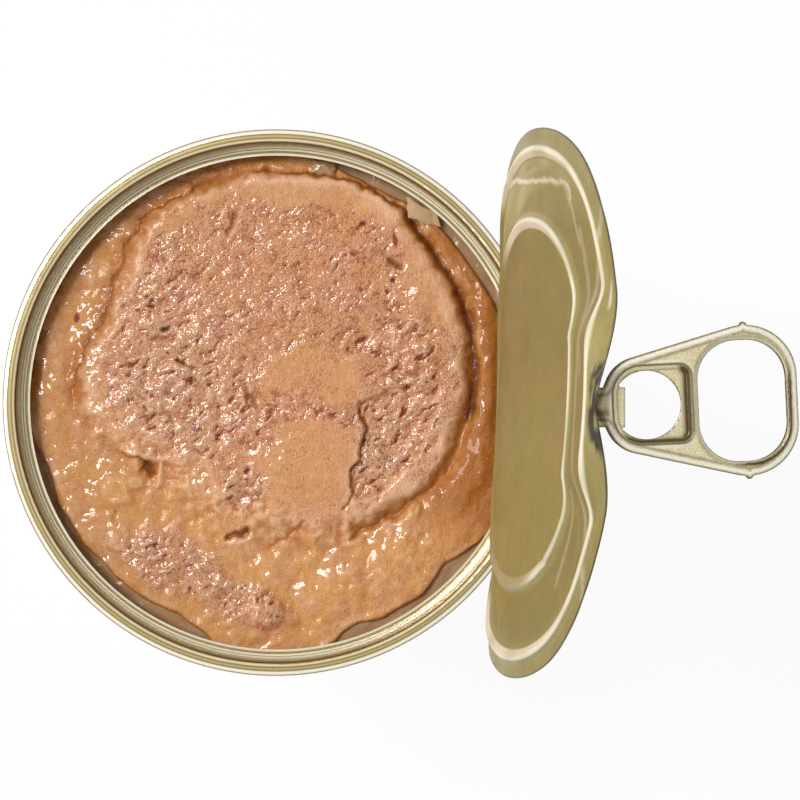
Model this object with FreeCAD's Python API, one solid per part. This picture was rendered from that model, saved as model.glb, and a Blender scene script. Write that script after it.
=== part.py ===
import FreeCAD, Part

import math
import os

# Opened can of pet food: a double-seamed tinplate can with its full-aperture
# lid peeled back and still joined at one side, a lifted ring pull, and a
# meat loaf set in jelly.  Millimetres.  Origin: centre of the can's foot,
# +Z up, the lid stands on the +X side.

# ---- Can body --------------------------------------------------------------
CAN_HEIGHT = 119.0        # foot to the top of the upper seam
BODY_INNER_D = 99.0       # bore of the plain wall
BODY_WALL = 0.25
BEAD_COUNT = 13           # stiffening beads rolled into the wall
BEAD_PITCH = 5.6
BEAD_WIDTH = 4.4
BEAD_DEPTH = 0.45

# ---- Seamed ends -----------------------------------------------------------
END_SHEET = 0.25
SEAM_OVERHANG = 1.75      # seam beyond the body's outside
SEAM_HEIGHT = 3.1
SEAM_CROWN = 2.45         # radial width of the folded seam
CHUCK_DRAFT = 0.8         # how far the chuck wall leans inwards
GROOVE_DEPTH = 0.6        # countersink groove below the panel
GROOVE_FLOOR = 0.4
GROOVE_RISE = 0.2         # run of the groove's inner flank
LEDGE_WIDTH = 0.75        # panel metal left outside the score
TOP_PANEL_DEPTH = 4.3     # seam top to the upper end's panel
BOTTOM_PANEL_DEPTH = 3.0
BOTTOM_RINGS = (37.0, 25.0)   # expansion rings of the bottom end
RING_WIDTH = 3.0
RING_HEIGHT = 0.5

# ---- Peeled lid ------------------------------------------------------------
LID_SHEET = 0.25
# Lean of the lid's middle line from upright, against the share of its
# diameter measured from the unbroken side: flat in the ring, a tight fold,
# a lean over the can, then outwards, with a crease across it below the pull.
LID_LEAN = ((0.000, -90.0), (0.010, -90.0), (0.040, -12.5), (0.210, -5.0),
            (0.360, 6.0), (0.510, 15.0), (0.660, 17.5), (0.865, 13.4),
            (0.890, 17.0), (1.000, 14.5))
LID_SKEW = 2.8            # degrees the chords turn about the upright
LID_SKEW_FROM = 35.0      # distance over which that turn builds up
# Both beads stand out on the lid's inner face.
OUTER_BEAD = (3.6, 1.2, 0.75)     # in from the edge, half width, height
INNER_BEAD = (0.6, 1.15, 0.65)    # clear of the tongue's foot, half width, height
DENT_DEPTH = 3.6          # how far the pull's nose pushed the edge in
DENT_REACH = 34.0         # how far the dent runs in from the edge
DENT_FLAT = 9.5           # half width of its flat middle, away from the edge
DENT_WIDTH = 19.0         # half width of the whole dent
DENT_WIDTH_EDGE = 14.5    # the same at the very edge

# ---- Ring pull -------------------------------------------------------------
TAB_LENGTH = 31.3
TAB_WIDTH = 23.4
TAB_THICK = 1.6           # over the rolled rim
TAB_WEB = 0.45
TAB_TIP_R = 0.7           # blunt point of the nose
TAB_CHEEKS = (7.2, 1.6, 6.0)         # round cheeks behind it: along, aside, radius
TAB_END_R = 8.0
TAB_RIM = 1.85            # ring width round the finger hole's far end
FINGER_HOLE = (13.5, 18.7, 6.0)      # along, across, corner radius
TONGUE_HOLE_R = 5.3
TONGUE_HOLE_X = 7.9       # nose tip to the hole's centre
TONGUE_HINGE = 3.8        # nose tip to the hole's straight side
PANEL_RIM = 1.45          # rolled rim round the sunk panel
PANEL_BACK = 15.0         # nose tip to the sunk panel's straight end
PANEL_CORNER_R = 1.9
PANEL_SLOPE = 0.75        # run of the sunk panel's sloping sides
TONGUE_WIDTH = 6.2
TONGUE_THICK = 0.4
TONGUE_FOOT_R = 3.3
TONGUE_FOLD = 1.3         # drop of the fold at the hinge
NUB_R = 0.6
TAB_YAW = 2.7             # degrees, seen from above
TAB_SHIFT = -0.65         # nose beside the lid's middle line
TAB_BELOW_EDGE = 5.5      # pull's mid-plane under the lid's free edge
NOSE_GAP = 1.7            # nose tip to the lid's outer face
RIVET_INSET = 10.4        # rivet from the lid's free edge
RIVET_LIFT = 0.12         # the formed seat stands a little proud of the sheet
RIVET_HEAD_R = 2.4
RIVET_SHANK_R = 1.6
RIVET_HEAD = 0.5
RIVET_FIT = 0.05

# ---- Filling ---------------------------------------------------------------
FILL_CLEAR = 0.02         # filling to the metal it lies against
FILL_DEPTH = 8.7          # seam top to the loaf's low outer part
JELLY_DEPTH = 8.9         # seam top to the jelly
JELLY_WIDTH = 3.0         # mean width of the jelly round the loaf
LOAF_SHIFT = (-1.0, 1.0)  # the loaf stands off the can's axis
PLATEAU = (3.2, 8.6, 34.5, 2.4, 3.2)   # raised round: x, y, radius, height, shoulder
GROOVE = (1.5, 4.5, 39.0, 2.6, -1.0)   # furrow on its right: x, y, radius, half width, depth
GROOVE_FROM, GROOVE_TO = -75.0, 58.0   # degrees the furrow runs through
# Lumps and hollows of the torn surface: x, y, half width, height.
LUMPS = ((-36.0, 16.0, 8.0, 0.9), (-31.0, -16.0, 5.5, 0.8), (-17.0, -35.0, 9.5, 1.1),
         (-24.0, -13.5, 3.2, -1.5), (-8.5, -25.5, 3.6, -1.2), (6.0, -12.0, 11.0, 0.35),
         (22.0, -7.0, 6.5, -0.8), (-1.5, -40.0, 4.0, 0.8), (19.0, -32.0, 9.0, 0.6),
         (9.0, -27.0, 6.0, 0.7), (-40.0, -4.0, 5.0, 0.5), (39.0, 6.0, 4.0, 0.7))
RELIEF_STEPS = 30

# ---- Sizes that follow -----------------------------------------------------
BODY_INNER_R = BODY_INNER_D / 2
BODY_OUTER_R = BODY_INNER_R + BODY_WALL
SEAM_OUTER_R = BODY_OUTER_R + SEAM_OVERHANG
CROWN_INNER_R = SEAM_OUTER_R - SEAM_CROWN
GROOVE_OUTER_R = CROWN_INNER_R - CHUCK_DRAFT
GROOVE_INNER_R = GROOVE_OUTER_R - GROOVE_FLOOR
PANEL_R = GROOVE_INNER_R - GROOVE_RISE
LID_R = PANEL_R - LEDGE_WIDTH
LID_LENGTH = 2 * LID_R
BEAD_FLANK = 1.3          # the formed flank runs on past the bead's half width
LID_BEADS = ((LID_R - OUTER_BEAD[0], OUTER_BEAD[1], OUTER_BEAD[2]),
             (LID_R - RIVET_INSET - TONGUE_FOOT_R - INNER_BEAD[0]
              - BEAD_FLANK * INNER_BEAD[1], INNER_BEAD[1], INNER_BEAD[2]))
LID_BASE_Z = CAN_HEIGHT - TOP_PANEL_DEPTH - LID_SHEET / 2
JELLY_R = BODY_INNER_R - BEAD_DEPTH - FILL_CLEAR
LOAF_R = JELLY_R - JELLY_WIDTH
FILL_FLOOR = BOTTOM_PANEL_DEPTH + END_SHEET + max(RING_HEIGHT, GROOVE_DEPTH) + FILL_CLEAR

Vec = FreeCAD.Vector
Z_AXIS = Vec(0, 0, 1)


def smooth(t):
    """A ramp from 0 to 1 that starts and ends level."""
    t = min(1.0, max(0.0, t))
    return t * t * (3 - 2 * t)


def rounded_face(points, place):
    """Face of a closed outline; each point is (a, b, corner radius)."""
    count = len(points)
    corners = []
    for i, (a, b, radius) in enumerate(points):
        here = Vec(a, b, 0)
        before = Vec(points[i - 1][0], points[i - 1][1], 0) - here
        after = Vec(points[(i + 1) % count][0], points[(i + 1) % count][1], 0) - here
        before.normalize()
        after.normalize()
        angle = before.getAngle(after)
        if radius < 1e-6 or angle > math.pi - 1e-4:
            corners.append((here, here, here))
            continue
        reach = radius / math.tan(angle / 2)
        middle = before + after
        middle.normalize()
        rise = radius / math.sin(angle / 2) - radius
        corners.append((here + before * reach, here + middle * rise, here + after * reach))
    edges = []
    for i, (start, mid, end) in enumerate(corners):
        if (start - end).Length > 1e-6:
            edges.append(Part.Arc(place(start), place(mid), place(end)).toShape())
        nxt = corners[(i + 1) % count][0]
        if (nxt - end).Length > 1e-6:
            edges.append(Part.LineSegment(place(end), place(nxt)).toShape())
    return Part.Face(Part.Wire(edges))


def turned(points):
    """Solid of revolution about Z from an outline of (radius, height, corner)."""
    face = rounded_face(points, lambda p: Vec(p.x, 0, p.y))
    return face.revolve(Vec(0, 0, 0), Z_AXIS, 360)


def tangent_hull(circles):
    """Face round a convex ring of circles (x, y, radius), listed anticlockwise."""
    edges, count = [], len(circles)
    lines = []
    for i in range(count):
        (xa, ya, ra), (xb, yb, rb) = circles[i], circles[(i + 1) % count]
        dist = math.hypot(xb - xa, yb - ya)
        turn = math.atan2(yb - ya, xb - xa) - math.acos((ra - rb) / dist)
        out = Vec(math.cos(turn), math.sin(turn), 0)
        lines.append((Vec(xa, ya, 0) + out * ra, Vec(xb, yb, 0) + out * rb, turn))
    for i, (start, end, turn) in enumerate(lines):
        edges.append(Part.LineSegment(start, end).toShape())
        x, y, r = circles[(i + 1) % count]
        following = lines[(i + 1) % count][2]
        while following < turn:
            following += 2 * math.pi
        half = (turn + following) / 2
        mid = Vec(x + r * math.cos(half), y + r * math.sin(half), 0)
        edges.append(Part.Arc(end, mid, lines[(i + 1) % count][0]).toShape())
    return Part.Face(Part.Wire(edges))


def end_section(panel_depth, top_side, back_side, height_of):
    """Section of a seamed end; depths run from the seam's crown into the can."""
    groove = panel_depth + GROOVE_DEPTH
    back = END_SHEET * 0.8
    points = [(SEAM_OUTER_R, SEAM_HEIGHT, 0.3), (SEAM_OUTER_R, 0.0, 0.9),
              (CROWN_INNER_R, 0.0, 0.8), (GROOVE_OUTER_R, groove, 0.2),
              (GROOVE_INNER_R, groove, 0.15), (PANEL_R, panel_depth, 0.2)]
    points += top_side + back_side
    points += [(PANEL_R - back, panel_depth + END_SHEET, 0.15),
               (GROOVE_INNER_R - back, groove + END_SHEET, 0.3),
               (GROOVE_OUTER_R + back, groove + END_SHEET, 0.3),
               (CROWN_INNER_R + back, SEAM_HEIGHT, 0.0)]
    return [(r, height_of(depth), corner) for r, depth, corner in points]


def make_end_ring():
    """What is left in the rim: seam, chuck wall, groove and ledge."""
    ledge = [(LID_R, TOP_PANEL_DEPTH, 0.0)]
    under = [(LID_R, TOP_PANEL_DEPTH + END_SHEET, 0.0)]
    return turned(end_section(TOP_PANEL_DEPTH, ledge, under, lambda d: CAN_HEIGHT - d))


def make_bottom_end():
    """Bottom end with its foot ring and two expansion rings."""
    outside, inside = [], []
    for radius in BOTTOM_RINGS:
        for shift, rise in ((0.5, 0.0), (0.25, RING_HEIGHT), (-0.25, RING_HEIGHT), (-0.5, 0.0)):
            outside.append((radius + shift * RING_WIDTH, BOTTOM_PANEL_DEPTH + rise, 0.5))
            inside.append((radius + shift * RING_WIDTH,
                           BOTTOM_PANEL_DEPTH + END_SHEET + rise, 0.5))
    outside.append((0.0, BOTTOM_PANEL_DEPTH, 0.0))
    inside.append((0.0, BOTTOM_PANEL_DEPTH + END_SHEET, 0.0))
    return turned(end_section(BOTTOM_PANEL_DEPTH, outside, inside[::-1], lambda d: d))


def make_can_body():
    """Side wall with its cluster of beads."""
    low, high = SEAM_HEIGHT, CAN_HEIGHT - SEAM_HEIGHT
    first = CAN_HEIGHT / 2 - BEAD_PITCH * (BEAD_COUNT - 1) / 2
    dips = []
    for i in range(BEAD_COUNT):
        mid = first + BEAD_PITCH * i
        dips += [(mid - BEAD_WIDTH / 2, 0.0), (mid, BEAD_DEPTH), (mid + BEAD_WIDTH / 2, 0.0)]
    outer = [(BODY_OUTER_R - dip, z, 1.6) for z, dip in dips]
    inner = [(BODY_INNER_R - dip, z, 1.6) for z, dip in dips]
    return turned([(BODY_OUTER_R, low, 0.0)] + outer + [(BODY_OUTER_R, high, 0.0),
                  (BODY_INNER_R, high, 0.0)] + inner[::-1] + [(BODY_INNER_R, low, 0.0)])


def middle_line(distance):
    """Place (x, z) and lean of the lid's middle line at a distance along it."""
    x, z = LID_R, LID_BASE_Z
    for (from_share, from_lean), (to_share, to_lean) in zip(LID_LEAN, LID_LEAN[1:]):
        start, stop = from_share * LID_LENGTH, to_share * LID_LENGTH
        a, b = math.radians(from_lean), math.radians(to_lean)
        last = distance <= stop or to_share == LID_LEAN[-1][0]
        run = min(distance, stop) - start if not last else distance - start
        lean = a + (b - a) * run / (stop - start)
        if abs(lean - a) < 1e-9:
            x, z = x + run * math.sin(a), z + run * math.cos(a)
        else:
            x += run * (math.cos(a) - math.cos(lean)) / (lean - a)
            z += run * (math.sin(lean) - math.sin(a)) / (lean - a)
        if last:
            return x, z, lean
    return x, z, lean


def dent(distance, across):
    """How far the ring pull pushed the sheet in at a place on the lid."""
    depth = DENT_DEPTH * smooth(1 - (LID_LENGTH - distance) / DENT_REACH)
    edge = smooth(1 - (LID_LENGTH - distance) / 6.0)
    flat = DENT_FLAT * (1 - edge)
    width = DENT_WIDTH + (DENT_WIDTH_EDGE - DENT_WIDTH) * edge
    share = (abs(across) - flat) / (width - flat)
    soft = 1 - smooth(share)
    sharp = 1 - min(1.0, max(0.0, share))
    return depth * (soft + (sharp - soft) * 0.6 * edge)


def lid_point(along, across, off):
    """Point of the formed lid; along runs from the lid's centre to the pull."""
    distance = LID_R + along
    x, z, lean = middle_line(distance)
    turn = math.tan(math.radians(LID_SKEW)) * smooth(distance / LID_SKEW_FROM)
    return Vec(x + off * math.cos(lean) - dent(distance, across) + across * turn,
               across, z - off * math.sin(lean))


def make_lid_panel():
    """Peeled panel: one closed surface, both faces and the cut edge."""
    half = LID_SHEET / 2
    radii = [0.0, LID_R * 0.12, LID_R * 0.26, LID_R * 0.40, LID_R * 0.53]
    for bead_r, half_width, _ in sorted(LID_BEADS):
        radii += [bead_r + half_width * k for k in (-2.0, -1.2, -0.6, 0.0, 0.6, 1.2)]
        radii.append(bead_r + half_width * 2.0 if bead_r < LID_R * 0.8 else
                     (bead_r + 1.2 * half_width + LID_R) / 2)
    radii += [LID_R * 0.76, LID_R * 0.82, LID_R - 0.15]
    radii = sorted(set(r for r in radii if r < LID_R - 0.1))

    def formed(radius):
        rise = 0.0
        for bead_r, half_width, height in LID_BEADS:
            rise -= height * smooth(1 - abs(radius - bead_r) / (BEAD_FLANK * half_width))
        return rise

    rows = [(r, formed(r) + half) for r in radii]
    rows += [(LID_R, half), (LID_R + 0.02, 0.0), (LID_R, -half)]
    rows += [(r, formed(r) - half) for r in reversed(radii)]
    columns = 80
    poles = []
    for radius, off in rows:
        ring = []
        for j in range(columns):
            angle = 2 * math.pi * j / columns
            ring.append(lid_point(-radius * math.cos(angle), radius * math.sin(angle), off))
        poles.append(ring)
    spans = len(poles) - 3
    surface = Part.BSplineSurface()
    surface.buildFromPolesMultsKnots(
        poles, [4] + [1] * (spans - 1) + [4], [1] * (columns + 1),
        list(range(spans + 1)), list(range(columns + 1)), False, True, 3, 3)
    solid = Part.Solid(Part.Shell([surface.toShape()]))
    if solid.Volume < 0:
        solid.reverse()
    return solid


def rivet_seat():
    """Centre and outward direction of the lid's outer face at the rivet."""
    along = LID_R - RIVET_INSET
    low = lid_point(along - 2.0, TAB_SHIFT, LID_SHEET / 2)
    high = lid_point(along + 2.0, TAB_SHIFT, LID_SHEET / 2)
    up = high - low
    up.normalize()
    out = up.cross(Vec(0, 1, 0)) * -1
    return (low + high) * 0.5 + out * RIVET_LIFT, out, up


def nose_tip():
    """Tip of the pull's nose, on its mid-plane."""
    height = middle_line(LID_LENGTH)[1] - TAB_BELOW_EDGE
    distance = LID_LENGTH
    while lid_point(distance - LID_R, 0, 0).z > height:
        distance -= 0.05
    face = lid_point(distance - LID_R, TAB_SHIFT, LID_SHEET / 2)
    return Vec(face.x + NOSE_GAP, TAB_SHIFT, height)


def ribbon(path, thick, width):
    """Strip of sheet bent along a path of (x, z, bend radius), centred on Y."""
    left, right = [], []
    for i, (x, z, bend) in enumerate(path):
        here = Vec(x, z, 0)
        ways = []
        if i > 0:
            ways.append(here - Vec(path[i - 1][0], path[i - 1][1], 0))
        if i < len(path) - 1:
            ways.append(Vec(path[i + 1][0], path[i + 1][1], 0) - here)
        for way in ways:
            way.normalize()
        normals = [Vec(-way.y, way.x, 0) for way in ways]
        out = normals[0] if len(normals) == 1 else (normals[0] + normals[1])
        out.normalize()
        out = out * (thick / 2 / out.dot(normals[0]))
        turn = 0.0 if len(ways) == 1 else ways[0].cross(ways[1]).z
        near, far = (bend, bend + thick) if turn < 0 else (bend + thick, bend)
        left.append((here.x + out.x, here.y + out.y, far if bend else 0.0))
        right.append((here.x - out.x, here.y - out.y, near if bend else 0.0))
    face = rounded_face(left + right[::-1], lambda p: Vec(p.x, -width / 2, p.y))
    return face.extrude(Vec(0, width, 0))


def slab(face, thick):
    """Plate of a given thickness centred on the face's plane."""
    face = face.copy()
    face.translate(Vec(0, 0, -thick / 2))
    return face.extrude(Vec(0, 0, thick))


def make_pull_tab():
    """Ring pull: rolled rim, finger hole, sunk panel and riveted tongue."""
    end_x = TAB_LENGTH - TAB_END_R
    end_y = TAB_WIDTH / 2 - TAB_END_R
    cheek_x, cheek_y, cheek_r = TAB_CHEEKS
    body = slab(tangent_hull([(TAB_TIP_R, 0, TAB_TIP_R), (cheek_x, -cheek_y, cheek_r),
                              (end_x, -end_y, TAB_END_R), (end_x, end_y, TAB_END_R),
                              (cheek_x, cheek_y, cheek_r)]), TAB_THICK)
    long_way, cross_way, corner = FINGER_HOLE
    hole_x = TAB_LENGTH - TAB_RIM - long_way
    near, far = hole_x + corner, hole_x + long_way - corner
    side = cross_way / 2 - corner
    finger = slab(tangent_hull([(near, side, corner), (near, -side, corner),
                                (far, -side, corner), (far, side, corner)]), 2 * TAB_THICK)
    body = body.cut(finger)
    # The rim is rolled, so every free edge of the ring is round.
    roll = 0.43 * TAB_THICK
    edges = [e for e in body.Edges if abs(abs(e.CenterOfMass.z) - TAB_THICK / 2) < 1e-6]
    body = body.makeFillet(roll, edges)
    tip_r = 2 * PANEL_SLOPE
    back = PANEL_BACK - PANEL_CORNER_R
    back_y = cheek_y + cheek_r - PANEL_RIM - PANEL_CORNER_R

    def sunk(inset, height):
        outline = tangent_hull([
            (TAB_TIP_R + PANEL_RIM + tip_r, 0, tip_r - inset),
            (cheek_x, -cheek_y, cheek_r - PANEL_RIM - inset),
            (back, -back_y, PANEL_CORNER_R - inset), (back, back_y, PANEL_CORNER_R - inset),
            (cheek_x, cheek_y, cheek_r - PANEL_RIM - inset)]).OuterWire
        outline.translate(Vec(0, 0, height))
        return outline

    for way in (1, -1):
        sides = [sunk(PANEL_SLOPE, way * TAB_WEB / 2), sunk(0.0, way * (TAB_THICK / 2 + 0.01))]
        body = body.cut(Part.makeLoft(sides, True, True))
    hole = Part.makeCylinder(TONGUE_HOLE_R, 2 * TAB_THICK, Vec(TONGUE_HOLE_X, 0, -TAB_THICK))
    keep = Part.makeBox(3 * TONGUE_HOLE_R, 3 * TONGUE_HOLE_R, 2 * TAB_THICK,
                        Vec(TONGUE_HINGE, -1.5 * TONGUE_HOLE_R, -TAB_THICK))
    body = body.cut(hole.common(keep))
    for way in (1, -1):
        nub = Part.makeCylinder(NUB_R, TAB_THICK * 0.3,
                                Vec(end_x, way * (TAB_WIDTH / 2 - 0.1), -TAB_THICK * 0.15))
        body = body.fuse(nub)
    body.rotate(Vec(0, 0, 0), Z_AXIS, TAB_YAW)
    tip = nose_tip()
    body.translate(tip)
    # The tongue leaves the straight side of its hole, folds under the nose
    # and lies flat on the lid round the rivet.
    seat, out, up = rivet_seat()
    lift = out * (TONGUE_THICK / 2)
    foot = seat + lift
    top = foot + up * (TONGUE_FOOT_R * 1.05)
    hinge_x = tip.x + TONGUE_HINGE
    strip = ribbon([(hinge_x - TONGUE_FOLD, tip.z, 0.0), (hinge_x + TONGUE_FOLD / 2, tip.z, 0.3),
                    (hinge_x + TONGUE_FOLD / 2, tip.z - TONGUE_FOLD, 0.3),
                    (top.x, top.z, 0.5), (foot.x, foot.z, 0.0)], TONGUE_THICK, TONGUE_WIDTH)
    strip.translate(Vec(0, TAB_SHIFT, 0))
    pad = Part.makeCylinder(TONGUE_FOOT_R, TONGUE_THICK, seat, out)
    shank = Part.makeCylinder(RIVET_SHANK_R + RIVET_FIT, 6.0, seat - out * 3.0, out)
    return body.fuse([strip, pad]).cut(shank).removeSplitter()


def make_rivet():
    """Button drawn from the lid and flattened over the tongue."""
    seat, out, _ = rivet_seat()
    grip = TONGUE_THICK + RIVET_FIT
    shank = Part.makeCylinder(RIVET_SHANK_R, grip + RIVET_HEAD + RIVET_LIFT,
                              seat - out * RIVET_LIFT, out)
    head = Part.makeCylinder(RIVET_HEAD_R, RIVET_HEAD, seat + out * grip, out)
    rim = [e for e in head.Edges if e.Curve.TypeId == "Part::GeomCircle"
           and (e.Curve.Center - seat).Length > grip + RIVET_HEAD * 0.6]
    head = head.makeFillet(RIVET_HEAD * 0.6, rim)
    return shank.fuse(head).removeSplitter()


def loaf_height(x, y):
    """Height of the loaf's torn upper surface."""
    level = CAN_HEIGHT - FILL_DEPTH
    px, py, radius, rise, shoulder = PLATEAU
    away = math.hypot(x - px, y - py)
    level += rise * smooth((radius + shoulder / 2 - away) / shoulder)
    gx, gy, radius, half, deep = GROOVE
    away = math.hypot(x - gx, y - gy)
    bearing = math.degrees(math.atan2(y - gy, x - gx))
    fade = smooth((bearing - GROOVE_FROM) / 20) * smooth((GROOVE_TO - bearing) / 20)
    level += deep * fade * smooth(1 - abs(away - radius) / half)
    for lx, ly, half, rise in LUMPS:
        level += rise * smooth(1 - math.hypot(x - lx, y - ly) / (1.6 * half))
    return level


def make_meat_loaf():
    """Round loaf with a torn, uneven top, standing on the bottom end."""
    sx, sy = LOAF_SHIFT
    reach = LOAF_R + 2.0
    grid = []
    for i in range(RELIEF_STEPS + 1):
        x = sx - reach + 2 * reach * i / RELIEF_STEPS
        ys = [sy - reach + 2 * reach * j / RELIEF_STEPS for j in range(RELIEF_STEPS + 1)]
        grid.append([Vec(x, y, loaf_height(x, y)) for y in ys])
    surface = Part.BSplineSurface()
    surface.interpolate(grid)
    block = surface.toShape().extrude(Vec(0, 0, -CAN_HEIGHT))
    core = Part.makeCylinder(LOAF_R, CAN_HEIGHT - FILL_FLOOR, Vec(sx, sy, FILL_FLOOR))
    return core.common(block)


def make_jelly():
    """Jelly between the loaf and the wall, wider on the side away from it."""
    top = CAN_HEIGHT - JELLY_DEPTH
    outer = Part.makeCylinder(JELLY_R, top - FILL_FLOOR, Vec(0, 0, FILL_FLOOR))
    inner = Part.makeCylinder(LOAF_R, top, Vec(LOAF_SHIFT[0], LOAF_SHIFT[1], FILL_FLOOR - 1))
    return outer.cut(inner)


def main():
    os.makedirs("parts", exist_ok=True)
    nodes = {
        "can_body": make_can_body,
        "bottom_end": make_bottom_end,
        "end_ring": make_end_ring,
        "lid_panel": make_lid_panel,
        "pull_tab": make_pull_tab,
        "rivet": make_rivet,
        "meat_loaf": make_meat_loaf,
        "jelly": make_jelly,
    }
    for name, make in nodes.items():
        shape = make()
        solids = shape.Solids
        print(name, "valid", shape.isValid(), "solids", len(solids),
              "volume", round(shape.Volume, 1))
        shape = solids[0] if len(solids) == 1 else Part.makeCompound(solids)
        shape.exportStep("parts/" + name + ".step")


main()
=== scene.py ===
"""Opened can of pet food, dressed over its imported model.

The can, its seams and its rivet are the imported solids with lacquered-metal
finishes.  The peeled lid, the ring pull, the torn loaf and the jelly round it
are finer pieces that stand in for their solids.  Working sizes are in
millimetres, in the can's own frame; meshes are brought to metres last.
"""

import logging
import math
from dataclasses import dataclass
from enum import Enum
from typing import Any, Callable, Mapping, Sequence

import bmesh
import bpy
import numpy as np
from mathutils import Matrix, Vector

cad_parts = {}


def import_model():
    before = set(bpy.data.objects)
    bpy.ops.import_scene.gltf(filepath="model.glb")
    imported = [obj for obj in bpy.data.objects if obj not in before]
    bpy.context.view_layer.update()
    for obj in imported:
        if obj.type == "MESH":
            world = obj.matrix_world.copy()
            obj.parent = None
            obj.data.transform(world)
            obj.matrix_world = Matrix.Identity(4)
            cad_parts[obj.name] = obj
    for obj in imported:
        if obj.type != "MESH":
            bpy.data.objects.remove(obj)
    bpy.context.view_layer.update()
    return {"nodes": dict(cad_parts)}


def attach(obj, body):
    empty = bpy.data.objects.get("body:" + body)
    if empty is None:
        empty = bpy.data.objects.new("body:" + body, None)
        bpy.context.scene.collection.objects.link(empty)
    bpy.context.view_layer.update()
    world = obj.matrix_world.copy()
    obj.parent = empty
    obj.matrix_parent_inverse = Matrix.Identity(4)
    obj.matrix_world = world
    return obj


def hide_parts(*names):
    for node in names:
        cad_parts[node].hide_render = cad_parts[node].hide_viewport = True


LOG = logging.getLogger("pet_food_can")
MM = 0.001

Array = np.ndarray
Pair = tuple[float, float]
Triple = tuple[float, float, float]

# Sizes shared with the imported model.
CAN_HEIGHT = 119.0
LID_R = 46.9
WALL_R = 49.03            # food side of the can's wall
ROOT = "root"


# ---- Numbers, colours and nodes ---------------------------------------------
def smooth(share: Array) -> Array:
    """A ramp from 0 to 1 that starts and ends level."""
    held = np.clip(share, 0.0, 1.0)
    return held * held * (3.0 - 2.0 * held)


def srgb(code: str) -> tuple[float, float, float, float]:
    """Linear colour of an sRGB hex code such as "#CD926F".

    Args:
        code: The six-digit hex code, with its hash.

    Returns:
        Linear red, green and blue, and an alpha of 1.
    """
    parts = (int(code[i:i + 2], 16) / 255.0 for i in (1, 3, 5))
    linear = [p / 12.92 if p <= 0.04045 else ((p + 0.055) / 1.055) ** 2.4 for p in parts]
    return (linear[0], linear[1], linear[2], 1.0)


def add_node(tree: bpy.types.NodeTree, kind: str,
             inputs: Mapping[str | int, Any] | None = None, **settings: Any) -> bpy.types.Node:
    """Add a node with its settings, values and links.

    Args:
        tree: Node tree that takes the node.
        kind: Blender's name for the node's class.
        inputs: Socket name or number against a value or an output to link.
        settings: Properties of the node; "stops" fills a colour ramp.

    Returns:
        The new node.
    """
    node = tree.nodes.new(kind)
    for name, value in settings.items():
        if name == "stops":
            elements = node.color_ramp.elements
            while len(elements) < len(value):
                elements.new(0.5)
            for element, (place, colour) in zip(elements, value):
                element.position, element.color = place, colour
        else:
            setattr(node, name, value)
    for key, value in (inputs or {}).items():
        if isinstance(value, bpy.types.NodeSocket):
            tree.links.new(value, node.inputs[key])
        else:
            node.inputs[key].default_value = value
    return node


def start_material(name: str) -> tuple[bpy.types.Material, bpy.types.NodeTree]:
    """A new material with an empty node tree.

    Args:
        name: Name of the material.

    Returns:
        The material and its node tree.
    """
    material = bpy.data.materials.new(name)
    material.use_nodes = True
    material.node_tree.nodes.clear()
    return material, material.node_tree


def finish_material(tree: bpy.types.NodeTree, shader: bpy.types.NodeSocket) -> None:
    """Link a shader to the material's output."""
    add_node(tree, "ShaderNodeOutputMaterial", {"Surface": shader})


# ---- Noise and outlines in plan ---------------------------------------------
def gradient_noise(x: Array, y: Array, seed: int) -> Array:
    """Smooth lumps about zero, one to a unit square.

    Args:
        x: Places across, in lumps.
        y: Places along, in lumps.
        seed: Picks one pattern of many.

    Returns:
        Noise of about -1 to 1 at each place.
    """
    ix, iy = np.floor(x).astype(np.int64), np.floor(y).astype(np.int64)
    fx, fy = x - ix, y - iy

    def corner(dx: int, dy: int) -> Array:
        """Pull of one corner of the square.

        Args:
            dx: Corner across, 0 or 1.
            dy: Corner along, 0 or 1.

        Returns:
            Its pull at each place.
        """
        mixed = (ix + dx) * 374761393 + (iy + dy) * 668265263 + seed * 982451653
        mixed = ((mixed ^ (mixed >> 13)) * 1274126177) & 0xFFFFFFFF
        turn = ((mixed ^ (mixed >> 16)) & 0xFFFF) * (2 * math.pi / 65536.0)
        return np.cos(turn) * (fx - dx) + np.sin(turn) * (fy - dy)

    ux, uy = (f * f * f * (f * (f * 6 - 15) + 10) for f in (fx, fy))
    low = corner(0, 0) * (1 - ux) + corner(1, 0) * ux
    high = corner(0, 1) * (1 - ux) + corner(1, 1) * ux
    return 1.5 * (low * (1 - uy) + high * uy)


def fractal(x: Array, y: Array, size: float, octaves: int, seed: int) -> Array:
    """Noise with ever finer lumps, the largest one size mm across.

    Args:
        x: Places across, mm.
        y: Places along, mm.
        size: Width of the largest lumps, mm.
        octaves: Number of layers, each half as wide as the last.
        seed: Picks one pattern of many.

    Returns:
        Noise about zero at each place.
    """
    total, weight = np.zeros_like(x), 1.0
    for k in range(octaves):
        total += weight * gradient_noise(x * 2 ** k / size, y * 2 ** k / size, seed + 31 * k)
        weight *= 0.5
    return total


def terraced(height: Array, steps: float, tread: float) -> Array:
    """Turn a slope into flat treads with short steep risers between them.

    Args:
        height: The slope.
        steps: Treads to one unit of height.
        tread: Share of each step that stays flat.

    Returns:
        The stepped heights, on the same scale.
    """
    lifted = height * steps
    base = np.floor(lifted)
    return (base + smooth((lifted - base - tread) / (1.0 - tread))) / steps


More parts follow.
